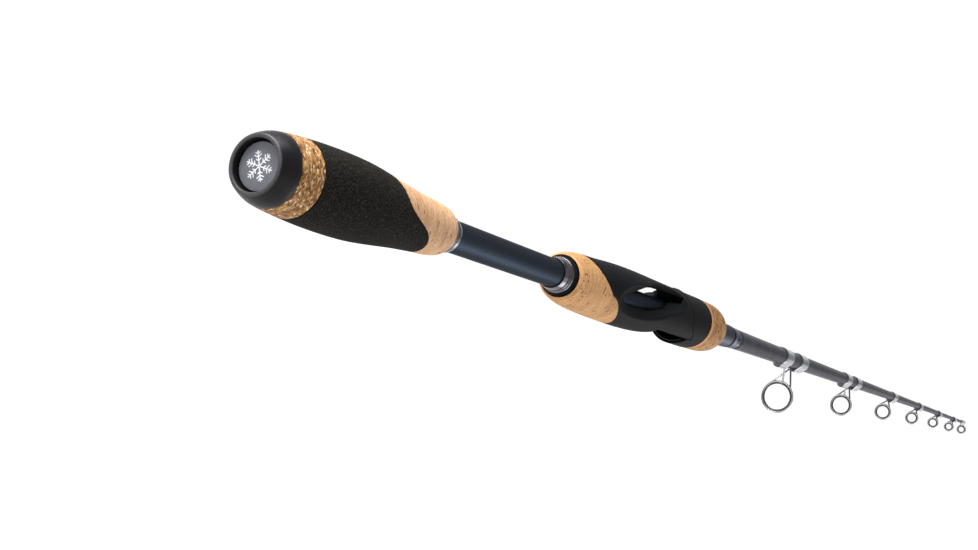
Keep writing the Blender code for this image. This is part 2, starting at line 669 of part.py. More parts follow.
def build_tip():
    tube_start = BLANK_END - 11.0
    bore = blank_radius(tube_start) + 0.12
    outer = bore + 0.4
    end = BLANK_END + TIP_REACH - 0.3
    socket = [(tube_start, bore), (tube_start, outer), (end - 0.5, outer), (end, outer - 0.5), (end, 0),
              (end - 1.2, 0), (end - 1.2, bore)]
    frame = revolve("tip_top_frame", socket, STEEL, rod, FINE)
    ring_radius = 3.4
    station = end - 0.3
    centre = outer + ring_radius + 1.6
    hoop = revolve("add_tip_hoop", [(station - 0.6, ring_radius + 0.12), (station - 0.6, ring_radius + 0.8),
                                    (station + 0.6, ring_radius + 0.8), (station + 0.6, ring_radius + 0.12)],
                   STEEL, rod, FINE, centre)
    combine(frame, hoop, "UNION")
    for side in (-1, 1):
        path = [(tube_start + 1.5, side * 0.6, -outer + 0.15), (tube_start + 4.0, side * 0.9, -outer - 0.1),
                (station, side * 2.3, -centre + ring_radius * 0.9)]
        leg = strap("add_tip_leg_" + ("near" if side < 0 else "far"), path, 0.8, 0.7, STEEL, rod)
        combine(frame, leg, "UNION")
    ring_inner = ring_radius - RING_THICKNESS
    revolve("tip_top_ring", [(station - 0.6, ring_radius - 0.3), (station, ring_radius),
                             (station + 0.6, ring_radius - 0.3), (station + 0.45, ring_inner + 0.22),
                             (station, ring_inner), (station - 0.45, ring_inner + 0.22)],
            CERAMIC, rod, FINE, centre)
    start = tube_start - 5.5
    wrap_end = tube_start - BOND

    def outer_skin(x, angle):
        return blank_radius(x) + 0.35

    sleeve("tip_top_wrap", lambda z: start, lambda z: wrap_end, [0, 1], outer_skin,
           lambda x, a: blank_radius(x) + 0.12, WRAP, rod, 16, 1)


build_butt()
build_rear_grip()
build_tube()
build_fore_grip()
build_seat_body()
build_barrel()
build_arbors()
build_hood()
build_nut()
build_trim()
for number, (place, size, below, pair) in enumerate(GUIDES, start=1):
    build_guide(number, place, size, below, pair)
build_tip()
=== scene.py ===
"""Looks of the ice fishing rod: fine meshes, procedural materials, a studio and the camera.

Shapes are given in millimetres along the rod: x from just behind the butt, y to the side, z above the
rod's axis, with the reel side underneath. The frame's own boxes put them in place.
"""
import math

import bpy
import numpy as np
from mathutils import Matrix, Vector


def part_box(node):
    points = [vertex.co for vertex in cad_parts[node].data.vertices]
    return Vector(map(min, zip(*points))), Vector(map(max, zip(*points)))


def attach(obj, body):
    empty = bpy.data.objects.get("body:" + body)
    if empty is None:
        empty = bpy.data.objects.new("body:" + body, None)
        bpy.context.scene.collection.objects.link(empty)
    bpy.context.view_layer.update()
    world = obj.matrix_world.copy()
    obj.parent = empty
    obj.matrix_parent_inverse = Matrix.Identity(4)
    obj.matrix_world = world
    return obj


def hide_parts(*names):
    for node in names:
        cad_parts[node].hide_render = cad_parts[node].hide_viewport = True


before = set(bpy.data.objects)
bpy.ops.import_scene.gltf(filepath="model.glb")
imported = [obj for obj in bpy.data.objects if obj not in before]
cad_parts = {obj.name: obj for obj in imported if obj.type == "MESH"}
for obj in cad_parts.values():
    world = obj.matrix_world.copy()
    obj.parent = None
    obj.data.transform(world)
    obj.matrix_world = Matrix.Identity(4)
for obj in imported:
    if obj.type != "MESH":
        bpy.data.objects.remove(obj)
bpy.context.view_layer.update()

MM = 0.001
TAU = 2 * math.pi
BUTT_PLANE = 0.9                # station of the rod's rear end
TUBE_LOW, TUBE_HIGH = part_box("handle_tube")
ORIGIN = Vector((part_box("butt_cap")[0].x - BUTT_PLANE * MM, (TUBE_LOW.y + TUBE_HIGH.y) / 2,
                 (TUBE_LOW.z + TUBE_HIGH.z) / 2))
SADDLE = 6.8                    # the flat saddle's depth below the axis
TUBE_BORE = 4.2
HOOD_END = 304


# ---- meshes
def add_object(name, data):
    thing = bpy.data.objects.new(name, data)
    bpy.context.collection.objects.link(thing)
    return thing


def add_mesh(name, points, faces, material, body, nodes, sharp=None, marks=None):
    """A piece from points in millimetres, which rides on body and stands in for the frame's nodes.

    Edges over sharp degrees are shaded sharp; marks are values per point for the material.
    """
    points = np.asarray(points, float) * MM + np.array(ORIGIN)
    mesh = bpy.data.meshes.new(name)
    mesh.from_pydata(points.tolist(), [], [list(map(int, f)) for f in faces])
    mesh.materials.append(material)
    mesh.shade_smooth()
    if sharp:
        mesh.set_sharp_from_angle(angle=math.radians(sharp))
    for label, values in (marks or {}).items():
        layer = mesh.attributes.new(label, "FLOAT", "POINT")
        layer.data.foreach_set("value", np.asarray(values, np.float32))
    thing = add_object(name, mesh)
    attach(thing, body)
    if nodes:
        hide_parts(*nodes)


def rounded(outline, radius, steps=4):
    """Rounds the corners of a closed outline of (x, radius); corners on the axis stay sharp."""
    made = []
    count = len(outline)
    for k, corner in enumerate(outline):
        here = np.array(corner, float)
        before = np.array(outline[k - 1], float) - here
        after = np.array(outline[(k + 1) % count], float) - here
        if here[1] == 0:
            made.append(tuple(here))
            continue
        cut = min(radius, np.linalg.norm(before) * 0.45, np.linalg.norm(after) * 0.45)
        a = here + before / np.linalg.norm(before) * cut
        b = here + after / np.linalg.norm(after) * cut
        for j in range(steps + 1):
            t = j / steps
            made.append(tuple((1 - t)**2 * a + 2 * t * (1 - t) * here + t * t * b))
    return made


def turn_angles(count):
    return np.arange(count) * TAU / count


def ring(x, radius, angle, drop=0.0):
    """Points round the axis, or round a line below it; x and radius may vary round the ring."""
    across = -radius * np.cos(angle)
    return np.stack([np.broadcast_to(x, angle.shape), across, radius * np.sin(angle) - drop], 1)


def revolve(name, outline, material, body, nodes, count=128, drop=0.0):
    """Turns a closed outline of (x, radius) about the axis, or about a line below it."""
    angle = turn_angles(count)
    points = []
    rows = []
    for x, radius in outline:
        if radius == 0:
            rows.append([len(points)] * count)
            points.append((x, 0, -drop))
            continue
        rows.append(list(range(len(points), len(points) + count)))
        points.extend(map(tuple, ring(x, radius, angle, drop)))
    faces = []
    for row, after in zip(rows, rows[1:] + rows[:1]):
        for k in range(count):
            n = (k + 1) % count
            face = list(dict.fromkeys([after[k], after[n], row[n], row[k]]))
            if len(face) > 2:
                faces.append(face)
    add_mesh(name, points, outward(points, faces), material, body, nodes)


def outward(points, faces):
    """Turns the faces of a closed mesh outwards."""
    p = np.asarray(points, float)
    total = 0.0
    for f in faces:
        for k in range(1, len(f) - 1):
            total += np.dot(p[f[0]], np.cross(p[f[k]], p[f[k + 1]]))
    return faces if total > 0 else [list(reversed(f)) for f in faces]


def grid_skin(name, rows, material, body, nodes, sharp=None, marks=None):
    """A closed tube-shaped mesh from rings of points; the last ring joins up with the first."""
    rows = np.asarray(rows, float)
    length, count = rows.shape[:2]
    points = rows.reshape(-1, 3)
    k, j = np.meshgrid(np.arange(length), np.arange(count), indexing="ij")
    k2, j2 = (k + 1) % length, (j + 1) % count
    faces = np.stack([k * count + j, k2 * count + j, k2 * count + j2, k * count + j2], -1).reshape(-1, 4)
    add_mesh(name, points, outward(points, faces.tolist()), material, body, nodes, sharp, marks)


def smooth_curve(outline):
    """A smooth radius for any station, through the outline's points."""
    spacing = 0.1
    x, r = np.array(outline, float).T
    slope = np.empty(len(x))
    slope[1:-1] = (r[2:] - r[:-2]) / (x[2:] - x[:-2])
    slope[0] = (r[1] - r[0]) / (x[1] - x[0])
    slope[-1] = (r[-1] - r[-2]) / (x[-1] - x[-2])
    fine = np.arange(x[0], x[-1] + spacing / 2, spacing)
    k = np.clip(np.searchsorted(x, fine, "right") - 1, 0, len(x) - 2)
    span = x[k + 1] - x[k]
    t = (fine - x[k]) / span
    value = (r[k] * (2 * t**3 - 3 * t**2 + 1) + r[k + 1] * (3 * t**2 - 2 * t**3)
             + slope[k] * span * (t**3 - 2 * t**2 + t) + slope[k + 1] * span * (t**3 - t**2))
    return lambda s: np.interp(s, fine, value)


# ---- solids from distance fields
def cut(a, b, soft):
    """Field a without field b, with an edge rounded by about soft."""
    return join_max(a, -b, soft)


def join_max(a, b, soft):
    """What two fields share, with an edge rounded by about soft."""
    h = np.maximum(soft - np.abs(a - b), 0) / soft
    return np.maximum(a, b) + h * h * soft * 0.25


def join_min(a, b, soft):
    """Two fields together, with a fillet of about soft between them."""
    return -join_max(-a, -b, soft)


def outline_field(u, v, outline):
    """Signed distance to a closed flat outline, negative inside."""
    best = np.full(np.broadcast(u, v).shape, 1e9)
    inside = np.zeros(best.shape, bool)
    count = len(outline)
    for k in range(count):
        (u0, v0), (u1, v1) = outline[k], outline[(k + 1) % count]
        du, dv = u1 - u0, v1 - v0
        t = np.clip(((u - u0) * du + (v - v0) * dv) / (du * du + dv * dv), 0, 1)
        best = np.minimum(best, (u - u0 - t * du)**2 + (v - v0 - t * dv)**2)
        crosses = (v0 > v) != (v1 > v)
        inside ^= crosses & (u < du * (v - v0) / (dv if dv else 1e-9) + u0)
    return np.where(inside, -1, 1) * np.sqrt(best)


def ellipsoid_field(x, y, z, centre, axes, lean):
    """An ellipsoid tipped up by lean degrees towards the tip, negative inside."""
    c, s = math.cos(math.radians(lean)), math.sin(math.radians(lean))
    dx, dz = x - centre[0], z - centre[2]
    p = [(dx * c + dz * s), y - centre[1], (dz * c - dx * s)]
    near = np.sqrt(sum((p[k] / axes[k])**2 for k in range(3)))
    far = np.sqrt(sum((p[k] / axes[k]**2)**2 for k in range(3)))
    return near * (near - 1) / np.maximum(far, 1e-6)


def mesh_field(field, low, high, step):
    """A closed quad mesh round the inside of a field, with its points pulled onto the surface."""
    axes = [np.arange(low[k] - 2 * step, high[k] + 3 * step, step) for k in range(3)]
    x, y, z = np.meshgrid(*axes, indexing="ij")
    f = field(x, y, z).astype(np.float32)
    shape = tuple(n - 1 for n in f.shape)
    total = np.zeros(shape + (3,), np.float32)
    hits = np.zeros(shape, np.float32)
    crossings = []
    for d in range(3):
        near = tuple(slice(0, -1) if k == d else slice(None) for k in range(3))
        far = tuple(slice(1, None) if k == d else slice(None) for k in range(3))
        sign = (f[near] < 0) != (f[far] < 0)
        index = np.argwhere(sign)
        a, b = f[near][sign], f[far][sign]
        place = index.astype(np.float32)
        place[:, d] += a / (a - b)
        others = [k for k in range(3) if k != d]
        cells = []
        for i, j in ((1, 1), (0, 1), (0, 0), (1, 0)):
            cell = index.copy()
            cell[:, others[0]] -= i
            cell[:, others[1]] -= j
            cells.append(cell)
            np.add.at(total, tuple(cell.T), place)
            np.add.at(hits, tuple(cell.T), 1)
        crossings.append((cells, (a < 0) == (d != 1)))
    used = hits > 0
    number = np.full(shape, -1, np.int64)
    number[used] = np.arange(used.sum())
    points = total[used] / hits[used][:, None] * step + np.array([a[0] for a in axes])
    faces = []
    for cells, forward in crossings:
        quad = np.stack([number[tuple(cell.T)] for cell in cells], 1)
        quad[~forward] = quad[~forward][:, ::-1]
        faces.append(quad)
    faces = np.concatenate(faces)
    points = points.astype(float)
    reach = step * 0.25
    for _ in range(4):
        value = field(*points.T)
        slope = np.stack([field(*(points + e).T) - field(*(points - e).T)
                          for e in np.eye(3) * reach], 1) / (2 * reach)
        size = np.maximum((slope**2).sum(1), 0.05)
        move = -(value / size)[:, None] * slope
        points += np.clip(move, -reach, reach)
    return points, faces


def field_piece(name, field, low, high, step, material, body, nodes):
    points, faces = mesh_field(field, low, high, step)
    add_mesh(name, points, outward(points, faces.tolist()), material, body, nodes)


# ---- materials
class Nodes:
    """A short way to build the nodes of one material, or of the world."""

    def __init__(self, name, world=False):
        self.material = (bpy.data.worlds if world else bpy.data.materials).new(name)
        self.material.use_nodes = True
        self.tree = self.material.node_tree
        self.shader = self.tree.nodes["Background" if world else "Principled BSDF"]
        self.place = self.add("ShaderNodeTexCoord").outputs["Generated" if world else "Object"]

    def add(self, kind, links=None, **settings):
        node = self.tree.nodes.new(kind)
        for key, value in settings.items():
            if hasattr(node, key):
                setattr(node, key, value)
            else:
                node.inputs[key.replace("_", " ")].default_value = value
        for key, source in (links or {}).items():
            self.tree.links.new(source, node.inputs[key])
        return node

    def scaled(self, x, y, z, offset=(0, 0, 0), source=None):
        """The place on the piece in pattern units: so many per millimetre along each axis."""
        node = self.add("ShaderNodeMapping", {"Vector": source or self.place})
        node.inputs["Scale"].default_value = (x / MM, y / MM, z / MM)
        node.inputs["Location"].default_value = offset
        return node.outputs[0]

    def station(self, start):
        """The distance along the rod from a station, in centimetres."""
        place = self.scaled(0.1, 0, 0, offset=(-(ORIGIN.x / MM + start) * 0.1, 0, 0))
        return self.add("ShaderNodeSeparateXYZ", {0: place}).outputs["X"]

    def noise(self, vector, detail, roughness=0.55, distortion=0.0, output="Fac"):
        node = self.add("ShaderNodeTexNoise", {"Vector": vector})
        node.inputs["Scale"].default_value = 1.0
        node.inputs["Detail"].default_value = detail
        node.inputs["Roughness"].default_value = roughness
        node.inputs["Distortion"].default_value = distortion
        return node.outputs[output]

    def cells(self, vector, feature="F1"):
        node = self.add("ShaderNodeTexVoronoi", {"Vector": vector}, feature=feature)
        node.inputs["Scale"].default_value = 1.0
        return node

    def ramp(self, source, stops):
        """Colours or grey values at places along the source's value."""
        node = self.add("ShaderNodeValToRGB", {"Fac": source})
        while len(node.color_ramp.elements) < len(stops):
            node.color_ramp.elements.new(0.5)
        for element, (place, colour) in zip(node.color_ramp.elements, stops):
            element.position = place
            element.color = (*(colour if isinstance(colour, tuple) else (colour,) * 3), 1)
        return node.outputs["Color"]

    def math(self, operation, a, b):
        node = self.add("ShaderNodeMath", operation=operation)
        for k, value in enumerate((a, b)):
            if isinstance(value, (int, float)):
                node.inputs[k].default_value = value
            else:
                self.tree.links.new(value, node.inputs[k])
        return node.outputs[0]

    def mix(self, amount, a, b, kind="MIX"):
        node = self.add("ShaderNodeMix", data_type="RGBA", blend_type=kind)
        for key, value in ((0, amount), (6, a), (7, b)):
            if isinstance(value, tuple):
                node.inputs[key].default_value = (*value, 1)
            elif isinstance(value, (int, float)):
                node.inputs[key].default_value = value
            else:
                self.tree.links.new(value, node.inputs[key])
        return node.outputs[2]

    def warped(self, vector, amount, rate):
        """The vector pushed about by soft noise, in pattern units."""
        push = self.noise(self.scaled(rate, rate, rate), 2.0, output="Color")
        centred = self.add("ShaderNodeVectorMath", {0: push}, operation="SUBTRACT")
        centred.inputs[1].default_value = (0.5, 0.5, 0.5)
        scaled = self.add("ShaderNodeVectorMath", {0: centred.outputs[0]}, operation="SCALE")
        scaled.inputs["Scale"].default_value = amount
        return self.add("ShaderNodeVectorMath", {0: vector, 1: scaled.outputs[0]}, operation="ADD").outputs[0]

    def attribute(self, name):
        return self.add("ShaderNodeAttribute", attribute_name=name).outputs["Fac"]

    def set(self, **values):
        for key, value in values.items():
            socket = self.shader.inputs[key.replace("_", " ")]
            if isinstance(value, tuple):
                socket.default_value = (*value, 1)
            elif isinstance(value, (int, float)):
                socket.default_value = value
            else:
                self.tree.links.new(value, socket)
        return self

    def bump(self, height, depth_mm, strength=1.0):
        node = self.add("ShaderNodeBump", {"Height": height})
        node.inputs["Distance"].default_value = depth_mm * MM
        node.inputs["Strength"].default_value = strength
        self.tree.links.new(node.outputs[0], self.shader.inputs["Normal"])
        return self


def natural_cork(name, dark, middle, light, lit_rim=None):
    """Cork with fine growth rings, specks and streaks; the last argument gives (station, colour) of a painted
    highlight at the edge from that station.
    """
    n = Nodes(name)
    broad = n.noise(n.scaled(0.12, 0.05, 0.05), 3.0)
    bent = n.warped(n.place, 0.0016, 0.12)
    rings = n.noise(n.scaled(1.6, 0.17, 0.17, source=bent), 4.0, 0.7)
    grain = n.noise(n.scaled(2.2, 1.2, 1.2), 4.0, 0.7)
    base = n.ramp(broad, [(0.3, dark), (0.55, middle), (0.75, light)])
    lines = n.ramp(rings, [(0.32, 0.56), (0.44, 0.9), (0.56, 1.07), (0.7, 1.26)])
    base = n.mix(1.0, base, lines, "MULTIPLY")
    base = n.mix(0.7, base, n.ramp(grain, [(0.32, 0.62), (0.5, 1.0), (0.68, 1.2)]), "MULTIPLY")
    specks = n.noise(n.scaled(1.7, 0.6, 0.6), 3.0, 0.7)
    bent = n.warped(n.place, 0.0016, 0.3)
    streaks = n.noise(n.scaled(2.1, 0.32, 0.32, source=bent), 3.0, 0.6)
    base = n.mix(n.ramp(specks, [(0.6, 0.0), (0.7, 0.5), (0.8, 0.8)]), base, (0.22, 0.10, 0.04))
    base = n.mix(n.ramp(streaks, [(0.64, 0.0), (0.7, 0.55), (0.8, 0.8)]), base, (0.17, 0.075, 0.03))
    if lit_rim:
        coarse = n.noise(n.scaled(0.42, 0.5, 0.5), 3.0, 0.7)
        figure = n.ramp(coarse, [(0.36, 0.5), (0.46, 0.9), (0.56, 1.12), (0.66, 1.3)])
        base = n.mix(1.0, base, figure, "MULTIPLY")
        # painted highlight: the first 2 mm or so from the station are coloured a paler orange
        base = n.mix(n.ramp(n.station(lit_rim[0]), [(0.2, 1.0), (0.24, 0.0)]), base, lit_rim[1])
    base = n.mix(n.attribute("pit"), base, (0.03, 0.014, 0.008))
    rough = n.ramp(grain, [(0.3, 0.82), (0.7, 0.66)])
    height = n.math("SUBTRACT", n.math("MULTIPLY", rings, 0.35), n.math("MULTIPLY", streaks, 0.3))
    n.set(Base_Color=base, Roughness=rough, Specular_IOR_Level=0.28).bump(height, 0.12)
    return n.material


def composite_cork():
    """Coarse cork granules pressed together with dark glue between them."""
    n = Nodes("composite_cork")
    bent = n.warped(n.place, 0.0008, 0.9)
    flakes = n.cells(n.scaled(2.3, 1.2, 1.2, source=bent))
    small = n.cells(n.scaled(3.6, 2.2, 2.2, source=bent))
    tone = n.ramp(flakes.outputs["Color"], [(0.0, (0.042, 0.015, 0.004)), (0.28, (0.21, 0.08, 0.022)),
                                            (0.55, (0.37, 0.18, 0.056)), (0.78, (0.55, 0.33, 0.13)),
                                            (1.0, (0.95, 0.84, 0.6))])
    fine = n.ramp(small.outputs["Color"], [(0.0, 0.25), (0.4, 0.85), (0.8, 1.3), (1.0, 2.0)])
    base = n.mix(0.8, tone, fine, "MULTIPLY")
    seam = n.cells(n.scaled(2.3, 1.2, 1.2, source=bent), "DISTANCE_TO_EDGE").outputs["Distance"]
    base = n.mix(n.ramp(seam, [(0.0, 0.7), (0.06, 0.0)]), base, (0.10, 0.04, 0.014))
    n.set(Base_Color=base, Roughness=0.72, Specular_IOR_Level=0.3).bump(small.outputs["Color"], 0.05)
    return n.material


def black_foam():
    """Closed-cell foam, matte, with fine brown-grey grit on its sanded face."""
    n = Nodes("black_foam")
    grit = n.noise(n.scaled(2.4, 2.4, 2.4), 4.0, 0.8)
    cells = n.cells(n.scaled(4.2, 4.2, 4.2)).outputs["Distance"]
    base = n.ramp(grit, [(0.35, (0.003, 0.0028, 0.0026)), (0.52, (0.008, 0.0074, 0.0065)),
                         (0.62, (0.04, 0.034, 0.027)), (0.74, (0.14, 0.12, 0.095))])
    n.set(Base_Color=base, Roughness=0.85, Specular_IOR_Level=0.06).bump(n.math("ADD", cells, grit), 0.06)
    return n.material


def soft_plastic(name, colour, roughness, grain=0.012, specular=0.35):
    """Moulded plastic or rubber with a fine matte grain."""
    n = Nodes(name)
    fine = n.noise(n.scaled(7, 7, 7), 3.0, 0.6)
    broad = n.noise(n.scaled(0.08, 0.2, 0.2), 2.0)
    low, high = (tuple(c * k for c in colour) for k in (0.85, 1.15))
    base = n.ramp(n.math("ADD", n.math("MULTIPLY", fine, 0.5), n.math("MULTIPLY", broad, 0.5)),
                  [(0.3, low), (0.7, high)])
    rough = n.ramp(fine, [(0.3, roughness - 0.05), (0.7, roughness + 0.05)])
    n.set(Base_Color=base, Roughness=rough, Specular_IOR_Level=specular).bump(fine, grain)
    return n.material


def cap_rubber():
    """Rubber with a painted highlight: a little paler on the lip round the disc, where light catches it."""
    n = Nodes("black_rubber")
    fine = n.noise(n.scaled(5, 5, 5), 4.0, 0.7)
    # painted highlight: the cap's first millimetre or so, its lip, is coloured paler than its dark side
    lip_highlight = n.ramp(n.station(0), [(0.105, (0.06, 0.06, 0.062)), (0.14, (0.007, 0.007, 0.0085))])
    base = n.mix(1.0, lip_highlight, n.ramp(fine, [(0.35, 0.6), (0.65, 1.5)]), "MULTIPLY")
    rough = n.ramp(fine, [(0.3, 0.3), (0.7, 0.42)])
    n.set(Base_Color=base, Roughness=rough, Specular_IOR_Level=0.18).bump(fine, 0.02)
    return n.material


def satin_paint(name, colour, flake, roughness, coat, specular=0.3, metallic=0.0, edge=(1.0, 1.0, 1.0)):
    """Paint with fine flake under a clear coat."""
    n = Nodes(name)
    sparks = n.noise(n.scaled(9.0, 9.0, 9.0), 2.0, 0.8)
    broad = n.noise(n.scaled(0.05, 0.3, 0.3), 3.0)
    base = n.ramp(n.math("ADD", n.math("MULTIPLY", sparks, 0.75), n.math("MULTIPLY", broad, 0.25)),
                  [(0.34, tuple(c * 0.8 for c in colour)), (0.56, colour), (0.74, flake)])
    rough = n.ramp(sparks, [(0.3, roughness - 0.04), (0.7, roughness + 0.05)])
    n.set(Base_Color=base, Roughness=rough, Specular_IOR_Level=specular, Metallic=metallic,
          Coat_Weight=coat, Coat_Roughness=0.12, Specular_Tint=edge).bump(sparks, 0.004)
    return n.material


def metal(name, colour, roughness):
    """Turned metal with fine marks that run round the rod."""
    n = Nodes(name)
    marks = n.noise(n.scaled(6.0, 0.12, 0.12), 3.0, 0.7)
    low = tuple(c * 0.86 for c in colour)
    rough = n.ramp(marks, [(0.3, roughness * 0.8), (0.7, roughness * 1.25)])
    n.set(Base_Color=n.ramp(marks, [(0.3, low), (0.7, colour)]), Metallic=1.0, Roughness=rough)
    n.bump(marks, 0.004)
    return n.material


def marbled():
    """Silver film with dark and bright veins, stretched along the rod."""
    n = Nodes("silver_marble")
    bent = n.warped(n.place, 0.004, 0.25)
    veins = n.noise(n.scaled(0.22, 0.3, 0.3, source=bent), 6.0, 0.62, 1.2)
    base = n.ramp(veins, [(0.34, (0.012, 0.012, 0.018)), (0.46, (0.05, 0.05, 0.07)),
                          (0.52, (0.34, 0.34, 0.4)), (0.57, (0.05, 0.05, 0.065)),
                          (0.66, (0.44, 0.44, 0.5))])
    n.set(Base_Color=base, Roughness=0.3, Metallic=0.8, Coat_Weight=0.1, Coat_Roughness=0.1,
          Specular_Tint=(0.3, 0.3, 0.35))
    n.bump(veins, 0.05)
    return n.material


def blank_paint():
    """Grey-blue blank under a thin gloss, with faint lines that run round it."""
    n = Nodes("grey_blue_blank")
    wrap = n.noise(n.scaled(0.9, 0.12, 0.12), 4.0, 0.6)
    fine = n.noise(n.scaled(5, 5, 5), 2.0)
    base = n.ramp(wrap, [(0.3, (0.034, 0.034, 0.043)), (0.6, (0.052, 0.052, 0.066)),
                         (0.8, (0.08, 0.08, 0.1))])
    n.set(Base_Color=base, Roughness=n.ramp(fine, [(0.3, 0.22), (0.7, 0.3)]), Specular_IOR_Level=0.012,
          Coat_Weight=0.01, Coat_Roughness=0.06).bump(wrap, 0.008)
    return n.material


def thread_wrap():
    """Thread turns under clear epoxy."""
    n = Nodes("dark_wrap")
    turns = n.add("ShaderNodeTexWave", {"Vector": n.scaled(1, 1, 1)}, wave_type="BANDS", bands_direction="X")
    turns.inputs["Scale"].default_value = 1.1
    turns.inputs["Distortion"].default_value = 0.15
    base = n.ramp(turns.outputs["Fac"], [(0.0, (0.006, 0.008, 0.014)), (0.6, (0.018, 0.024, 0.042)),
                                         (1.0, (0.035, 0.045, 0.075))])
    n.set(Base_Color=base, Roughness=0.35, Coat_Weight=1.0, Coat_Roughness=0.03)
    n.bump(turns.outputs["Fac"], 0.02)
    return n.material


NUT_START = 304.4
REAR_CORK = natural_cork("pale_cork", (0.52, 0.295, 0.155), (0.61, 0.36, 0.2), (0.69, 0.43, 0.25))
CORK = natural_cork("natural_cork", (0.48, 0.245, 0.098), (0.56, 0.298, 0.125), (0.63, 0.352, 0.16))
# The nut cork's rear edge, next to the hood, gets a painted highlight.
NUT_CORK = natural_cork("nut_cork", (0.35, 0.17, 0.06), (0.41, 0.21, 0.08), (0.47, 0.255, 0.102),
                        lit_rim=(NUT_START, (0.6, 0.27, 0.1)))
BURL = composite_cork()
FOAM = black_foam()
RUBBER = cap_rubber()
PLASTIC = soft_plastic("soft_black", (0.0082, 0.0086, 0.0096), 0.55, specular=0.02)
BADGE = soft_plastic("grey_badge", (0.15, 0.15, 0.176), 0.42, 0.006)
INK = soft_plastic("white_ink", (0.8, 0.82, 0.85), 0.5, 0.006)
ARBOR = soft_plastic("fibre_arbor", (0.42, 0.40, 0.33), 0.8, 0.05)
GLOSS = satin_paint("black_gloss", (0.008, 0.008, 0.010), (0.02, 0.02, 0.025), 0.2, 1.0)
TUBE_PAINT = satin_paint("blue_tube", (0.05, 0.062, 0.078), (0.07, 0.083, 0.1), 0.4, 0.0, metallic=0.8,
                         edge=(0.12, 0.15, 0.2))
COLLAR = satin_paint("silver_blue", (0.18, 0.183, 0.212), (0.27, 0.275, 0.31), 0.34, 0.0, metallic=1.0,
                     edge=(0.3, 0.31, 0.34))
BAND = satin_paint("grey_band", (0.045, 0.036, 0.038), (0.09, 0.075, 0.075), 0.3, 0.3)
CHROME = metal("chrome", (0.17, 0.165, 0.19), 0.2)
STEEL = metal("steel", (0.46, 0.46, 0.47), 0.26)
NUT_METAL = metal("nut_metal", (0.06, 0.06, 0.07), 0.35)
CERAMIC = satin_paint("dark_ceramic", (0.012, 0.012, 0.015), (0.03, 0.03, 0.036), 0.12, 0.8, 0.6)
MARBLE = marbled()
BLANK = blank_paint()
WRAP = thread_wrap()


# ---- butt
GRIP_BORE = 5.33
RECESS_FLOOR = 3.7


def build_butt():
    cap = [(RECESS_FLOOR + 0.7, 0), (RECESS_FLOOR + 0.7, GRIP_BORE), (7.05, GRIP_BORE), (7.05, 9.55),
           (5.6, 9.35), (4.2, 8.98), (2.9, 8.5), (1.9, 8.08), (1.2, 7.75), (0.9, 7.45), (0.9, 6.85),
           (1.15, 6.6), (RECESS_FLOOR, 6.45), (RECESS_FLOOR, 0)]
    revolve("butt_cap_skin", rounded(cap, 0.32, 5), RUBBER, "handle", ["butt_cap"], 160)
    front = RECESS_FLOOR - 0.3
    badge = [(front - 0.5, 0), (front - 0.5, 5.95), (front - 0.35, 6.1), (front, 6.1), (front, 0)]
    revolve("butt_badge_disc", rounded(badge, 0.1), BADGE, "handle", ["butt_badge"], 128)
    plug = rounded([(5.0, 0), (5.0, 3.9), (16, 3.9), (17, 3.3), (17, 0)], 0.3)
    revolve("butt_plug_body", plug, PLASTIC, "handle", ["butt_plug"], 64)
    build_emblem(front - 0.5)


def build_emblem(face):
    """A six-armed ice crystal in raised ink on the disc."""
    thick = 0.12
    half_line = 0.16
    spread = math.radians(58)

    def strokes():
        for arm in range(6):
            a = TAU * arm / 6
            along = np.array([math.cos(a), math.sin(a)])
            yield 0.3 * along, 3.9 * along
            for place, length in ((1.4, 0.75), (2.25, 1.15), (3.1, 0.75)):
                for side in (-1, 1):
                    b = a + side * spread
                    branch = np.array([math.cos(b), math.sin(b)])
                    yield place * along, place * along + length * branch

    lines = list(strokes())

    def field(x, y, z):
        best = np.full(np.broadcast(x, y, z).shape, 1e9)
        for a, b in lines:
            d = b - a
            t = np.clip(((y - a[0]) * d[0] + (z - a[1]) * d[1]) / (d @ d), 0, 1)
            best = np.minimum(best, np.hypot(y - a[0] - t * d[0], z - a[1] - t * d[1]))
        return join_max(best - half_line, np.abs(x - face) - thick, 0.06)

    field_piece("butt_emblem", field, (face - thick, -5, -5), (face + thick, 5, 5), 0.085, INK,
                "handle", None)


# ---- grips
BURL_END, FOAM_START, REAR_GRIP_END = 15.3, 15.6, 87.9
FORE_GRIP_START = 172.3
SEAM_GAP = 0.12                 # between the cork and what it meets at a slanted joint
REAR_GRIP = [(FOAM_START, 10.35), (24, 10.81), (34, 11.02), (44, 10.83), (54, 10.03), (64, 9.06), (74, 8.34),
             (82, 7.92), (85.6, 7.45), (87.2, 6.85), (REAR_GRIP_END, 6.1)]
FORE_GRIP = [(FORE_GRIP_START, 7.55), (173, 8.3), (176, 9.05), (181, 9.74), (188, 10.14), (196, 10.48),
             (208, 10.94), (221, 11.22), (236, 11.28), (251, 11.18), (270, 11.1), (HOOD_END, 11.1)]
REAR_SKIN = smooth_curve(REAR_GRIP)
FORE_CURVE = smooth_curve(FORE_GRIP)


def rear_seam(z):
    """Station of the S-shaped joint between foam and cork at height z."""
    return 64.4 - 0.35 * z - 7.7 * np.tanh((z - 0.7) / 3.1)


def fore_seam(z):
    """Station of the joint between the fore cork and the seat at height z."""
    return 198.5 - 1.5 * z - 1.7 * np.tanh((z + 0.8) / 0.9)


def fore_skin(x, sine):
    """Radius of the fore grip and the seat, slightly flatter on top just behind the seat."""
    return FORE_CURVE(x) - 0.3 * np.exp(-((x - 192) / 16)**2) * sine


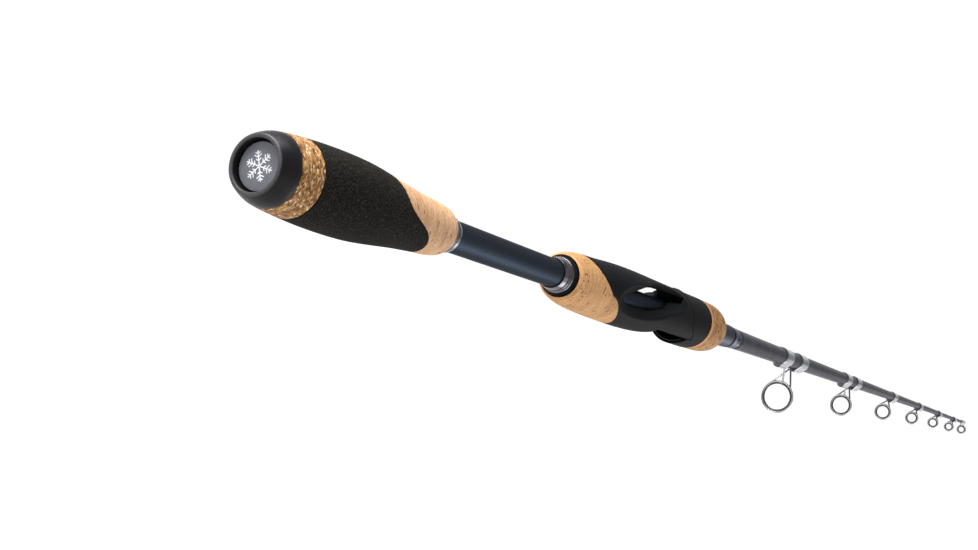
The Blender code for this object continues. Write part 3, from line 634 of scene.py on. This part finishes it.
class Pits:
    """Small hollows in cork: streaks that run round the grip, each with a place, size and depth.

    A crowd is (count, span of stations, span of sizes) of round ones among them.
    """

    def __init__(self, seed, count, x_span, girth, biggest=1.0, crowd=None):
        rng = np.random.default_rng(seed)
        self.x = rng.uniform(*x_span, count)
        self.angle = rng.uniform(0, TAU, count)
        self.wide = rng.uniform(0.16, 0.42, count) * biggest
        self.long = self.wide * rng.uniform(1.0, 4.5, count)
        self.lean = rng.uniform(-0.35, 0.35, count)
        self.depth = rng.uniform(0.12, 0.34, count) * biggest
        self.girth = girth
        if crowd:
            number, span, sizes = crowd
            first = count - number
            self.x[first:] = rng.uniform(*span, number)
            self.long[first:] = self.wide[first:] = rng.uniform(*sizes, number)
            self.depth[first:] = 0.3

    def at(self, x, angle):
        """(depth, darkness) at stations and angles."""
        depth = np.zeros(x.shape)
        for k in range(len(self.x)):
            round_way = (angle - self.angle[k] + math.pi) % TAU - math.pi
            u = round_way * self.girth
            near = (np.abs(x - self.x[k]) < 3) & (np.abs(u) < 4)
            if not near.any():
                continue
            du, dx = u[near], x[near] - self.x[k]
            a = (du + self.lean[k] * dx) / self.long[k]
            b = (dx - self.lean[k] * du) / self.wide[k]
            wobble = 0.25 * np.sin(a * 5 + k) + 0.2 * np.sin(b * 7 + 2 * k)
            r = np.sqrt(a * a + b * b) + wobble * 0.5
            dip = self.depth[k] * np.clip(1.25 - r, 0, 1)**0.7
            depth[near] = np.maximum(depth[near], dip)
        return depth, np.clip(depth / 0.14, 0, 1)


def build_sleeve(name, start, end, skin, bore, material, nodes, spacing, count, pits, edge, extra=None):
    """A grip between two end faces that may slant, with eased edges and, in cork, small pits.

    start and end give a face's station at a height, skin the radius at a station and a sine.
    """
    angle = turn_angles(count)
    sine = np.sin(angle)

    def on_face(face, part):
        radius = skin(face(np.zeros(count)), sine)
        for _ in range(30):
            radius = 0.5 * radius + 0.5 * skin(face(radius * sine), sine)
        radius = bore + (radius - bore) * part
        return face(radius * sine), radius

    first, last = on_face(start, 1.0)[0], on_face(end, 1.0)[0]
    steps = int((last - first).mean() / spacing)
    ease = np.array([0, 0.12, 0.3, 0.55, 0.85, 1.0]) * edge
    rows, pit_rows = [], []
    none = np.zeros(count)
    stations = [(first + e, e) for e in ease]
    inner = np.linspace(0, 1, steps + 1)[1:-1]
    stations += [(first + edge + (last - first - 2 * edge) * t, None) for t in inner]
    stations += [(last - e, e) for e in ease[::-1]]
    for x, e in stations:
        radius = skin(x, sine)
        if e is not None:
            radius = radius - (edge - math.sqrt(max(edge**2 - (edge - e)**2, 0)))
        dark = none
        if pits:
            depth, dark = pits.at(x, angle)
            radius = radius - depth
        if extra:
            radius = radius - extra(x, angle)
        rows.append(ring(x, radius, angle))
        pit_rows.append(dark)
    for face, parts in ((end, (0.93, 0.6, 0.3, 0)), (start, (0, 0.3, 0.6, 0.93))):
        for part in parts:
            x, radius = on_face(face, part)
            rows.append(ring(x, radius, angle))
            pit_rows.append(none)
    marks = {"pit": np.array(pit_rows).reshape(-1)} if pits else None
    grid_skin(name, rows, material, "handle", nodes, None, marks)


def plain(skin):
    """A skin that is round, from a radius for each station."""
    return lambda x, sine: skin(x)


def level(x):
    """A face square to the rod."""
    return lambda z: np.full(np.shape(z), float(x))


def build_grips():
    build_sleeve("rear_foam_skin", level(FOAM_START), rear_seam, plain(REAR_SKIN), GRIP_BORE, FOAM,
                 ["rear_foam_grip"], 0.6, 180, None, 0.2)
    pits = Pits(11, 80, (54, 87), 8.6, 0.7)
    build_sleeve("rear_cork_skin", lambda z: rear_seam(z) + SEAM_GAP, level(REAR_GRIP_END),
                 plain(REAR_SKIN), GRIP_BORE, REAR_CORK, ["rear_cork_grip"], 0.28, 260, pits, 0.2)
    burl = smooth_curve([(7.35, 9.6), (9.3, 9.82), (11.3, 10.0), (BURL_END, 10.33)])
    build_sleeve("rear_composite_skin", level(7.35), level(BURL_END), plain(burl), GRIP_BORE, BURL,
                 ["rear_composite_ring"], 0.4, 200, None, 0.15)

    def nick(x, angle):
        """A chip in the cork's edge beside the seat."""
        u = ((angle + math.pi) % TAU - math.pi) * 10.5
        return 0.5 * np.exp(-((x - 197.6) / 0.8)**2 - ((u + 0.2) / 1.4)**2)

    pits = Pits(23, 150, (173, 214), 10.2, 0.72, crowd=(40, (173.2, 180), (0.2, 0.34)))
    build_sleeve("fore_cork_skin", level(FORE_GRIP_START), lambda z: fore_seam(z) - SEAM_GAP, fore_skin,
                 7.4, CORK, ["fore_cork_grip"], 0.28, 280, pits, 0.2, nick)


def build_checks():
    """The turned rings at the grips' ends, each with its bore first: rear on the grip's, fore on the tube."""
    rear, fore = GRIP_BORE, 5.18
    rings = [("rear_check_band", BAND, [(88.2, rear), (88.2, 6.1), (89.2, 6.0), (90.1, 5.75), (90.1, rear)]),
             ("rear_check_ring", CHROME, [(90.4, rear), (90.4, 5.75), (91.6, 5.72), (92.4, 5.5),
                                          (92.4, rear)]),
             ("fore_check_ring", CHROME, [(165.5, fore), (165.5, 5.4), (167.8, 5.85), (167.8, fore)]),
             ("fore_check_band", BAND, [(168.1, fore), (168.1, 5.9), (169.4, 6.15), (169.4, fore)]),
             ("fore_check_outer_ring", CHROME, [(169.7, fore), (169.7, 6.2), (170.5, 6.45), (170.5, fore)]),
             ("fore_recess_cup", PLASTIC, [(170.8, fore), (170.8, 6.55), (171.3, 6.9), (172.1, 7.1),
                                           (174.6, 7.1), (174.6, fore)])]
    for node, material, outline in rings:
        revolve(node + "_turned", rounded(outline, 0.22), material, "handle", [node], 128)


# ---- tube, blank and trim
TIP_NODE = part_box("tip_top_frame")
BLANK_START, BLANK_END = 367.4, (TIP_NODE[1].x - ORIGIN.x) / MM - 1.9
ROOT_RADIUS, TIP_RADIUS = 4.72, 1.1


def blank_radius(x):
    return ROOT_RADIUS + (TIP_RADIUS - ROOT_RADIUS) * (x - BLANK_START) / (BLANK_END - BLANK_START)


def build_tube_and_blank():
    def wall(start, end, near, far, steps, material, node, ease=0.15):
        """A tube that narrows from radius near to radius far, with both rims eased."""
        xs = np.linspace(start, end, steps)
        outer = [(x, near + (far - near) * (x - start) / (end - start)) for x in xs]
        outline = [(start, TUBE_BORE), (start, near - ease), (start + ease * 0.3, near - ease * 0.3)]
        outline += [(start + ease, near)] + outer[1:-1] + [(end - ease, far)]
        outline += [(end - ease * 0.3, far - ease * 0.3), (end, far - ease), (end, TUBE_BORE)]
        revolve(node + "_skin", outline, material, "handle", [node], 96)

    wall(4.7, 330.2, 5.03, 4.76, 60, TUBE_PAINT, "handle_tube")
    wall(332.0, 354.9, 5.4, 5.3, 12, COLLAR, "fore_collar", 0.4)
    wall(355.1, 357.3, 5.2, 5.2, 4, PLASTIC, "trim_black_line")
    wall(357.5, 366.9, 4.92, 4.86, 16, MARBLE, "trim_wrap", 0.3)
    root = [(150, 0), (150, 3.0), (153, 3.9), (367.2, 3.9), (367.2, 4.55), (BLANK_START, ROOT_RADIUS)]
    xs = np.linspace(372, BLANK_END - 0.3, 120)
    body = [(x, blank_radius(x)) for x in xs]
    tip = [(BLANK_END, blank_radius(BLANK_END) - 0.3), (BLANK_END, 0)]
    revolve("blank_skin", root + body + tip, BLANK, "handle", ["blank"], 72)


# ---- reel seat
SEAT_FRONT = [(275.4, 12.5), (276.2, 11.0), (279.4, 4.7), (282.3, -1.0), (290.0, -5.6), (291.8, -SADDLE)]
WINDOW = [(221.6, 0.3), (223.6, 2.7), (227.8, 4.4), (232, 5.7), (238.2, 6.9), (245, 7.6), (256, 8.0),
          (265.5, 8.2), (274.5, 8.3), (276.4, 7.9), (276.2, 6.8), (270, 5.6), (263, 4.4), (259.7, 3.0),
          (255.4, 1.6), (248, 0.1), (240, -1.1), (227.6, -1.2), (222.6, -0.6)]


def seat_field(x, y, z):
    """The seat: a hollow body with scoops and a window through both sides, and a fixed hood below."""
    r = np.hypot(y, z)
    sine = z / np.maximum(r, 1e-6)
    body = join_max(r - fore_skin(x, sine), 5.8 - r, 0.2)
    slope = np.hypot(1, 1.5 + 1.9 / np.cosh((z + 0.8) / 0.9)**2)
    body = join_max(body, (fore_seam(z) - x) / slope, 0.25)
    front = outline_field(x, z, [(300, 12.5)] + SEAT_FRONT + [(291.8, -14), (300, -14)])
    body = cut(body, front, 0.3)
    for side in (-1, 1):
        body = cut(body, ellipsoid_field(x, y, z, (231.2, side * 16.4, 2.2), (30.8, 11.5, 8.0), 6), 1.1)
        body = cut(body, ellipsoid_field(x, y, z, (249, side * 12, 6.0), (27, 9.2, 6.1), 7.5), 1.1)
    slot_end = (x - 276.4 + 2.4 * np.maximum(-y - 5, 0)) / 2.6
    body = cut(body, np.maximum(outline_field(x, z, WINDOW), slot_end), 0.7)
    pocket = np.maximum(np.maximum(r - 10.2, z + SADDLE - 0.2), 236 - x)
    body = cut(body, pocket, 0.25)
    turn = np.radians(np.linspace(0, 90, 13))
    lip = list(zip(230 + 23 * np.sin(turn), -SADDLE - 4.5 * np.cos(turn)))
    under = lip + [(287, -SADDLE), (287, 0.2 - SADDLE), (300, 0.2 - SADDLE), (300, -14), (230, -14)]
    return cut(body, outline_field(x, z, under), 0.4)


def hood_field(x, y, z):
    """The moving hood: a sleeve whose mouth, below, opens backwards over the reel's foot."""
    r = np.hypot(y, z)
    sine = np.clip(z / np.maximum(r, 1e-6), 0, 1)
    body = r - 11.12 - 0.4 * sine**10 * np.exp(-((x - 279) / 1.7)**2)
    body = join_max(body, 8.6 - r, 0.2)
    body = join_max(body, x - HOOD_END, 0.35)
    behind = [(268, 12.5)] + [(a + 0.1, b) for a, b in SEAT_FRONT]
    behind += [(291.9, -SADDLE + 0.1), (287.4, -SADDLE + 0.1), (286.2, -11.3), (268, -13)]
    body = cut(body, outline_field(x, z, behind), 0.35)
    pocket = np.maximum(np.maximum(r - 10.3, z + SADDLE - 0.2), x - 294)
    body = cut(body, pocket, 0.2)
    body = cut(body, np.maximum(r - 9.9, np.abs(x - 299.8) - 2.2), 0.1)
    body = cut(body, np.maximum(r - 9.2, 301 - x), 0.2)
    stop = np.maximum(np.maximum(r - 8.94, z + SADDLE + 0.3), np.abs(x - 295.8) - 1.4)
    return join_min(body, stop, 0.2)


def liner_field(x, y, z):
    """The thin metal lining in the mouth of the moving hood."""
    r = np.hypot(y, z)
    shell = join_max(r - 10.0, 9.6 - r, 0.1)
    shell = np.maximum(shell, z + SADDLE + 0.5)
    lip = (287.0 + (z + SADDLE) * 0.27) - x
    return join_max(join_max(shell, lip, 0.1), x - 293.7, 0.1)


def build_seat():
    field_piece("reel_seat_skin", seat_field, (179, -11.5, -11.6), (292, 11.5, 11.5), 0.42, PLASTIC,
                "handle", ["seat_body"])
    field_piece("moving_hood_skin", hood_field, (275, -11.2, -11.3), (HOOD_END, 11.2, 11.6), 0.33, PLASTIC,
                "hood", ["moving_hood"])
    field_piece("hood_liner_skin", liner_field, (285, -10.1, -10.1), (293.7, 10.1, -7.2), 0.16, NUT_METAL,
                "hood", ["hood_liner"])


THREAD_START, THREAD_END = 303.0, 329.6
PITCH, THREAD_DEPTH = 2.0, 0.55
BARREL_RADIUS, BARREL_BORE, BARREL_END = 8.1, 5.8, 330.0


def build_barrel():
    """The barrel with its right-hand thread, flat underneath for the reel foot."""
    angle = turn_angles(144)
    sine = np.sin(angle)
    root = BARREL_RADIUS - THREAD_DEPTH

    def flat(radius):
        below = np.maximum(-sine, 1e-6)
        return np.where((sine < 0) & (radius * below > SADDLE), SADDLE / below, radius)

    def seam(radius):
        z = radius * sine
        edge = np.interp(-z, [-b for _, b in SEAT_FRONT], [a for a, _ in SEAT_FRONT])
        return edge + 0.3

    outer = flat(np.full(len(angle), BARREL_RADIUS))
    rows = [ring(seam(outer), outer, angle)]
    for x, radius in [(301.8, BARREL_RADIUS), (302.0, 8.0), (302.4, root)]:
        rows.append(ring(x, flat(np.full(len(angle), radius)), angle))
    for x in np.arange(THREAD_START, BARREL_END + 0.01, PITCH / 10):
        turn = (x - THREAD_START) / PITCH + angle / TAU
        ridge = np.clip(1.35 * (1 - np.abs(2 * (turn % 1.0) - 1)) - 0.15, 0, 1)
        run = min(1.0, (x - THREAD_START) / PITCH, (THREAD_END - x) / PITCH)
        rows.append(ring(x, flat(root + THREAD_DEPTH * ridge * max(0.0, run)), angle))
    inner = np.full(len(angle), BARREL_BORE)
    rows.append(ring(BARREL_END, inner, angle))
    rows.append(ring(seam(inner), inner, angle))
    grid_skin("threaded_barrel_skin", rows, PLASTIC, "handle", ["threaded_barrel"], 35)


def build_inside():
    """The rings that centre the seat and the barrel on the tube, and the barrel's end cap."""
    for node, start, end, material in (("seat_arbor", 210.4, 214.0, PLASTIC),
                                       ("barrel_arbor", 293.0, 328.0, ARBOR)):
        bore = 5.03 - 0.27 * (start - 4.7) / 325.5 + 0.15
        outline = rounded([(start, bore), (start, 5.6), (end, 5.6), (end, bore)], 0.15)
        revolve(node + "_body", outline, material, "handle", [node], 96)
    cap = rounded([(330.6, 4.35), (330.6, 7.3), (331.0, 7.3), (331.3, 7.0), (331.3, 4.35)], 0.15)
    revolve("barrel_end_cap_body", cap, GLOSS, "handle", ["barrel_end_cap"], 96)


# ---- nut
def build_nut():
    """The nut's metal sleeve, the ring that ties it to the hood, and its cork."""
    core = rounded([(299.2, 8.35), (299.2, 8.9), (326, 8.9), (326, 8.35)], 0.12)
    revolve("nut_core_body", core, NUT_METAL, "nut", ["nut_core"], 128)
    tie = rounded([(300.2, 9.05), (300.2, 9.7), (301.1, 9.7), (301.1, 9.05)], 0.12)
    revolve("nut_retaining_ring_body", tie, STEEL, "nut", ["nut_retaining_ring"], 96)
    angle = turn_angles(260)
    edge = 0.25
    end = 331.2
    outer = smooth_curve([(NUT_START, 10.95), (311, 11.0), (317, 10.95), (321.5, 10.78), (325, 10.3),
                          (328, 9.6), (330.2, 8.95), (end, 8.6)])
    pits = Pits(37, 120, (307.5, 330), 10.8, 0.8, crowd=(34, (309, 328), (0.35, 0.7)))
    none = np.zeros(len(angle))
    rows, dark_rows = [], []
    for e in (0.0, 0.03, 0.08, 0.15, edge):
        radius = outer(NUT_START) - (edge - math.sqrt(edge**2 - (edge - e)**2))
        rows.append(ring(NUT_START + e, radius, angle))
        dark_rows.append(none)
    for x in np.arange(304.9, 331.0, 0.28):
        depth, dark = pits.at(np.full(len(angle), x), angle)
        rows.append(ring(x, outer(x) - depth, angle))
        dark_rows.append(dark)
    for x, radius in ((end, 8.5), (end, 8.35), (326.4, 8.35), (326.4, 9.1), (NUT_START, 9.1)):
        rows.append(ring(x, radius, angle))
        dark_rows.append(none)
    grid_skin("nut_cork_skin", rows, NUT_CORK, "nut", ["nut_cork"], 50, {"pit": np.concatenate(dark_rows)})


# ---- guides
# Each guide's station, outer ring radius, the drop of its centre below the blank, and whether it
# has two feet.
GUIDES = [(470, 8.0, 17.0, True), (608, 6.0, 12.5, True), (728, 5.0, 9.5, False), (832, 4.2, 8.0, False),
          (922, 3.7, 7.0, False), (1000, 3.4, 6.4, False)]
RING = 1.15                     # width of a ring's lining
HOOP = 0.8                      # width of the metal round it
FOOT_DROP = 0.62                # a foot's centre line below the blank's skin


def ring_piece(name, station, ring_radius, centre, half, node):
    """A guide's smooth ring lining, whose section is an oval."""
    inner = ring_radius - RING
    outline = []
    for k in range(20):
        a = TAU * k / 20
        outline.append((station + half * math.cos(a),
                        (inner + ring_radius) / 2 + (RING / 2) * math.sin(a)))
    revolve(name, outline, CERAMIC, "handle", [node], 96, centre)


def bar_field(x, y, z, path, width, thickness):
    """A flat rounded bar along a path in the rod's middle plane or close to it."""
    best = None
    for a, b in zip(path, path[1:]):
        a, b = np.array(a, float), np.array(b, float)
        d = b - a
        t = np.clip(((x - a[0]) * d[0] + (y - a[1]) * d[1] + (z - a[2]) * d[2]) / (d @ d), 0, 1)
        flat = np.array([-d[2], 0, d[0]]) / math.hypot(d[0], d[2])
        px, py, pz = x - a[0] - t * d[0], y - a[1] - t * d[1], z - a[2] - t * d[2]
        up = px * flat[0] + pz * flat[2]
        rest = np.sqrt(np.maximum(px**2 + py**2 + pz**2 - up**2, 0))
        one = join_max(rest - width / 2, np.abs(up) - thickness / 2, 0.18)
        best = one if best is None else join_min(best, one, 0.3)
    return best


def build_guide(number, station, ring_radius, drop, two_feet):
    """One line guide: its lining, its stamped frame, and a wrap over each foot."""
    name = "guide_" + str(number)
    surface = blank_radius(station)
    centre = surface + drop
    ring_piece(name + "_insert", station, ring_radius, centre, RING * 0.5, name + "_ring")
    foot_length = 9 + ring_radius * 0.6
    knee = 2.5 + ring_radius * 0.45
    width = 1.15 + 0.08 * ring_radius
    grip = ring_radius + HOOP / 2 + 0.05
    feet = (1, -1) if two_feet else (1,)
    bars = []
    for way in feet:
        foot = []
        for along in (knee - 0.6, knee + foot_length):
            x = station + way * along
            foot.append((x, 0, -blank_radius(x) - FOOT_DROP))
        bars.append((foot, width, 0.6))
        spread = math.radians(38)
        for side in ((-1, 1) if way > 0 else (0,)):
            end = (station, grip * math.sin(spread) * side, -centre + grip * math.cos(spread * side))
            first = (station + way * (knee + 1.0), side * 0.23, -surface - FOOT_DROP - 0.05)
            bend = (station + way * (knee - 1.2), side * 0.6, -surface - FOOT_DROP - 0.8)
            bars.append(([first, bend, end], 0.95, 0.62))

    def field(x, y, z):
        r = np.hypot(y, z + centre)
        middle = (ring_radius + 0.12 + HOOP) * 0.5
        best = join_max(np.abs(r - middle - ring_radius * 0.5) - (HOOP - 0.12) / 2,
                        np.abs(x - station) - 0.6, 0.35)
        for path, wide, thick in bars:
            best = join_min(best, bar_field(x, y, z, path, wide, thick), 0.35)
        return np.maximum(best, ring_radius + 0.1 - r)

    reach = knee + foot_length + 0.5
    low = (station - (reach if two_feet else 1.0), -ring_radius - 1, -centre - ring_radius - 1)
    high = (station + reach, ring_radius + 1, -surface + 0.2)
    step = 0.2 if ring_radius > 5.5 else 0.16
    field_piece(name + "_stamping", field, low, high, step, STEEL, "handle", [name + "_frame"])
    for way in feet:
        foot_end = station + way * (knee + foot_length)
        label = "_wrap" if way > 0 else "_rear_wrap"
        build_wrap(name + label, station + way * (knee + 1.6), foot_end + way * 2.5, foot_end, width)


def build_wrap(node, near, far, foot_end, foot_width):
    """Thread and epoxy round the blank, raised where a guide's foot lies under it."""
    way = 1 if far > near else -1
    angle = turn_angles(72)
    sine = np.sin(angle)
    rows = []
    for t in np.linspace(0, 1, 60):
        x = near + (far - near) * t
        ends = min(1.0, abs(x - near) / 1.5 + 0.25, abs(far - x) / 1.5 + 0.15)
        under = np.clip(-3 * sine, 0, 1)
        across = blank_radius(x) * np.cos(angle) / (foot_width / 2 + 1.1)
        past = min(1.0, max(0.0, 1 - way * (x - foot_end - way * 0.6) / 1.2))
        radius = blank_radius(x) + 0.12 + 0.42 * ends + 1.3 * under * np.exp(-across**4) * past
        rows.append(ring(x, radius, angle))
    for x in (far, near):
        rows.append(ring(x, blank_radius(x) + 0.02, angle))
    grid_skin(node + "_epoxy", rows, WRAP, "handle", [node], 50)


def build_tip():
    """The tip's guide: a tube over the blank's end, a hoop on two struts, its lining and its wrap."""
    start = BLANK_END - 11.0
    bore = blank_radius(start) + 0.12
    outer = bore + 0.4
    end = BLANK_END + 1.6
    ring_radius = 3.4
    station = end - 0.3
    centre = outer + ring_radius + 1.6

    def field(x, y, z):
        r = np.hypot(y, z)
        length = np.abs(x - (start + end) / 2) - (end - start) / 2
        tube = join_max(r - outer + 0.12 * np.clip(x - end + 0.8, 0, 1), length, 0.4)
        tube = cut(tube, np.maximum(r - bore, x - end + 1.2), 0.08)
        q = np.hypot(y, z + centre)
        hoop = join_max(np.abs(q - ring_radius - 0.46) - 0.34, np.abs(x - station) - 0.6, 0.35)
        best = join_min(tube, hoop, 0.4)
        for side in (-1, 1):
            path = [(start + 1.5, side * 0.6, -outer + 0.15), (start + 4.0, side * 0.9, -outer - 0.1),
                    (station, side * 2.3, -centre + ring_radius * 0.9)]
            best = join_min(best, bar_field(x, y, z, path, 0.8, 0.7), 0.3)
        return np.maximum(best, ring_radius + 0.1 - q)

    field_piece("tip_top_stamping", field, (start, -4.5, -centre - 4.5), (end + 0.3, 4.5, 2.2), 0.14,
                STEEL, "handle", ["tip_top_frame"])
    ring_piece("tip_top_insert", station, ring_radius, centre, 0.55, "tip_top_ring")
    angle = turn_angles(48)
    rows = []
    low, high = start - 5.5, start - 0.3
    for x, lift in ((low, 0.12), (low + 0.4, 0.3), (low + 1, 0.35), (high - 0.5, 0.35), (high, 0.25)):
        rows.append(ring(x, blank_radius(x) + lift, angle))
    for x in (high, low):
        rows.append(ring(x, blank_radius(x) + 0.02, angle))
    grid_skin("tip_top_wrap_epoxy", rows, WRAP, "handle", ["tip_top_wrap"], 50)


# ---- studio
def build_studio():
    """A pale matte floor far below the rod, which glows more away from it, a dome and two soft boxes."""
    n = Nodes("studio_floor")
    mottle = n.noise(n.scaled(0.002, 0.002, 0.002), 2.0)
    far = n.add("ShaderNodeVectorMath", {0: n.scaled(0.0005, 0.0005, 0)}, operation="LENGTH").outputs["Value"]
    n.set(Base_Color=n.ramp(mottle, [(0.3, 0.86), (0.7, 0.9)]), Roughness=0.9, Specular_IOR_Level=0.1,
          Emission_Color=n.ramp(far, [(0.15, 0.37), (0.95, 1.0)]), Emission_Strength=0.78)
    half = 40.0
    height = ORIGIN.z - 0.7
    corners = [(-half, -half, height), (half, -half, height), (half, half, height), (-half, half, height)]
    mesh = bpy.data.meshes.new("studio_floor")
    mesh.from_pydata(corners, [], [(0, 1, 2, 3)])
    mesh.materials.append(n.material)
    floor = add_object("studio_floor", mesh)
    build_world()
    area_light("softbox_above", (-0.4, 0.1, 0.45), 0.5, 0.4, 7.4)
    area_light("softbox_below", (0.9, -0.42, -0.42), 1.2, 0.35, 4.8)


def build_world():
    """A dome that is white near the horizon, dimmer overhead and on the near side."""
    n = Nodes("studio", world=True)
    bpy.context.scene.world = n.material
    split = n.add("ShaderNodeSeparateXYZ", {0: n.place})
    height = n.ramp(split.outputs["Z"], [(0.36, 1.0), (0.62, 0.25)])
    side = n.ramp(n.math("ADD", split.outputs["Y"], 0.5), [(0.3, 0.4), (0.5, 1.0)])
    n.set(Color=n.mix(1.0, height, side, "DARKEN"), Strength=1.02)


def area_light(name, place, size, size_y, power):
    """A soft box that faces the reel seat."""
    data = bpy.data.lights.new(name, "AREA")
    data.shape = "RECTANGLE"
    data.size, data.size_y = size, size_y
    data.energy = power
    lamp = add_object(name, data)
    way = -Vector((0, place[1], place[2])).normalized()
    side = Vector((1, 0, 0))
    lamp.matrix_world = Matrix((side, (-way).cross(side), -way)).transposed().to_4x4()
    lamp.location = place
    lamp.visible_camera = False


def build_camera():
    """The photograph's view: from beside the butt, looking along the rod."""
    camera = bpy.data.cameras.new("camera")
    camera.sensor_width = 36
    camera.lens = 49.6933
    camera.clip_start = 0.01
    thing = add_object("camera", camera)
    thing.location = ORIGIN + Vector((-245.493, -206.578, 0.0)) * MM
    thing.rotation_euler = [math.radians(a) for a in (88.9303, -19.9981, -60.4991)]
    bpy.context.scene.camera = thing


build_butt()
build_grips()
build_checks()
build_tube_and_blank()
build_seat()
build_barrel()
build_inside()
build_nut()
for number, (station, ring_radius, drop, two_feet) in enumerate(GUIDES, start=1):
    build_guide(number, station, ring_radius, drop, two_feet)
build_tip()
build_studio()
build_camera()
bpy.context.scene.view_settings.view_transform = "Standard"
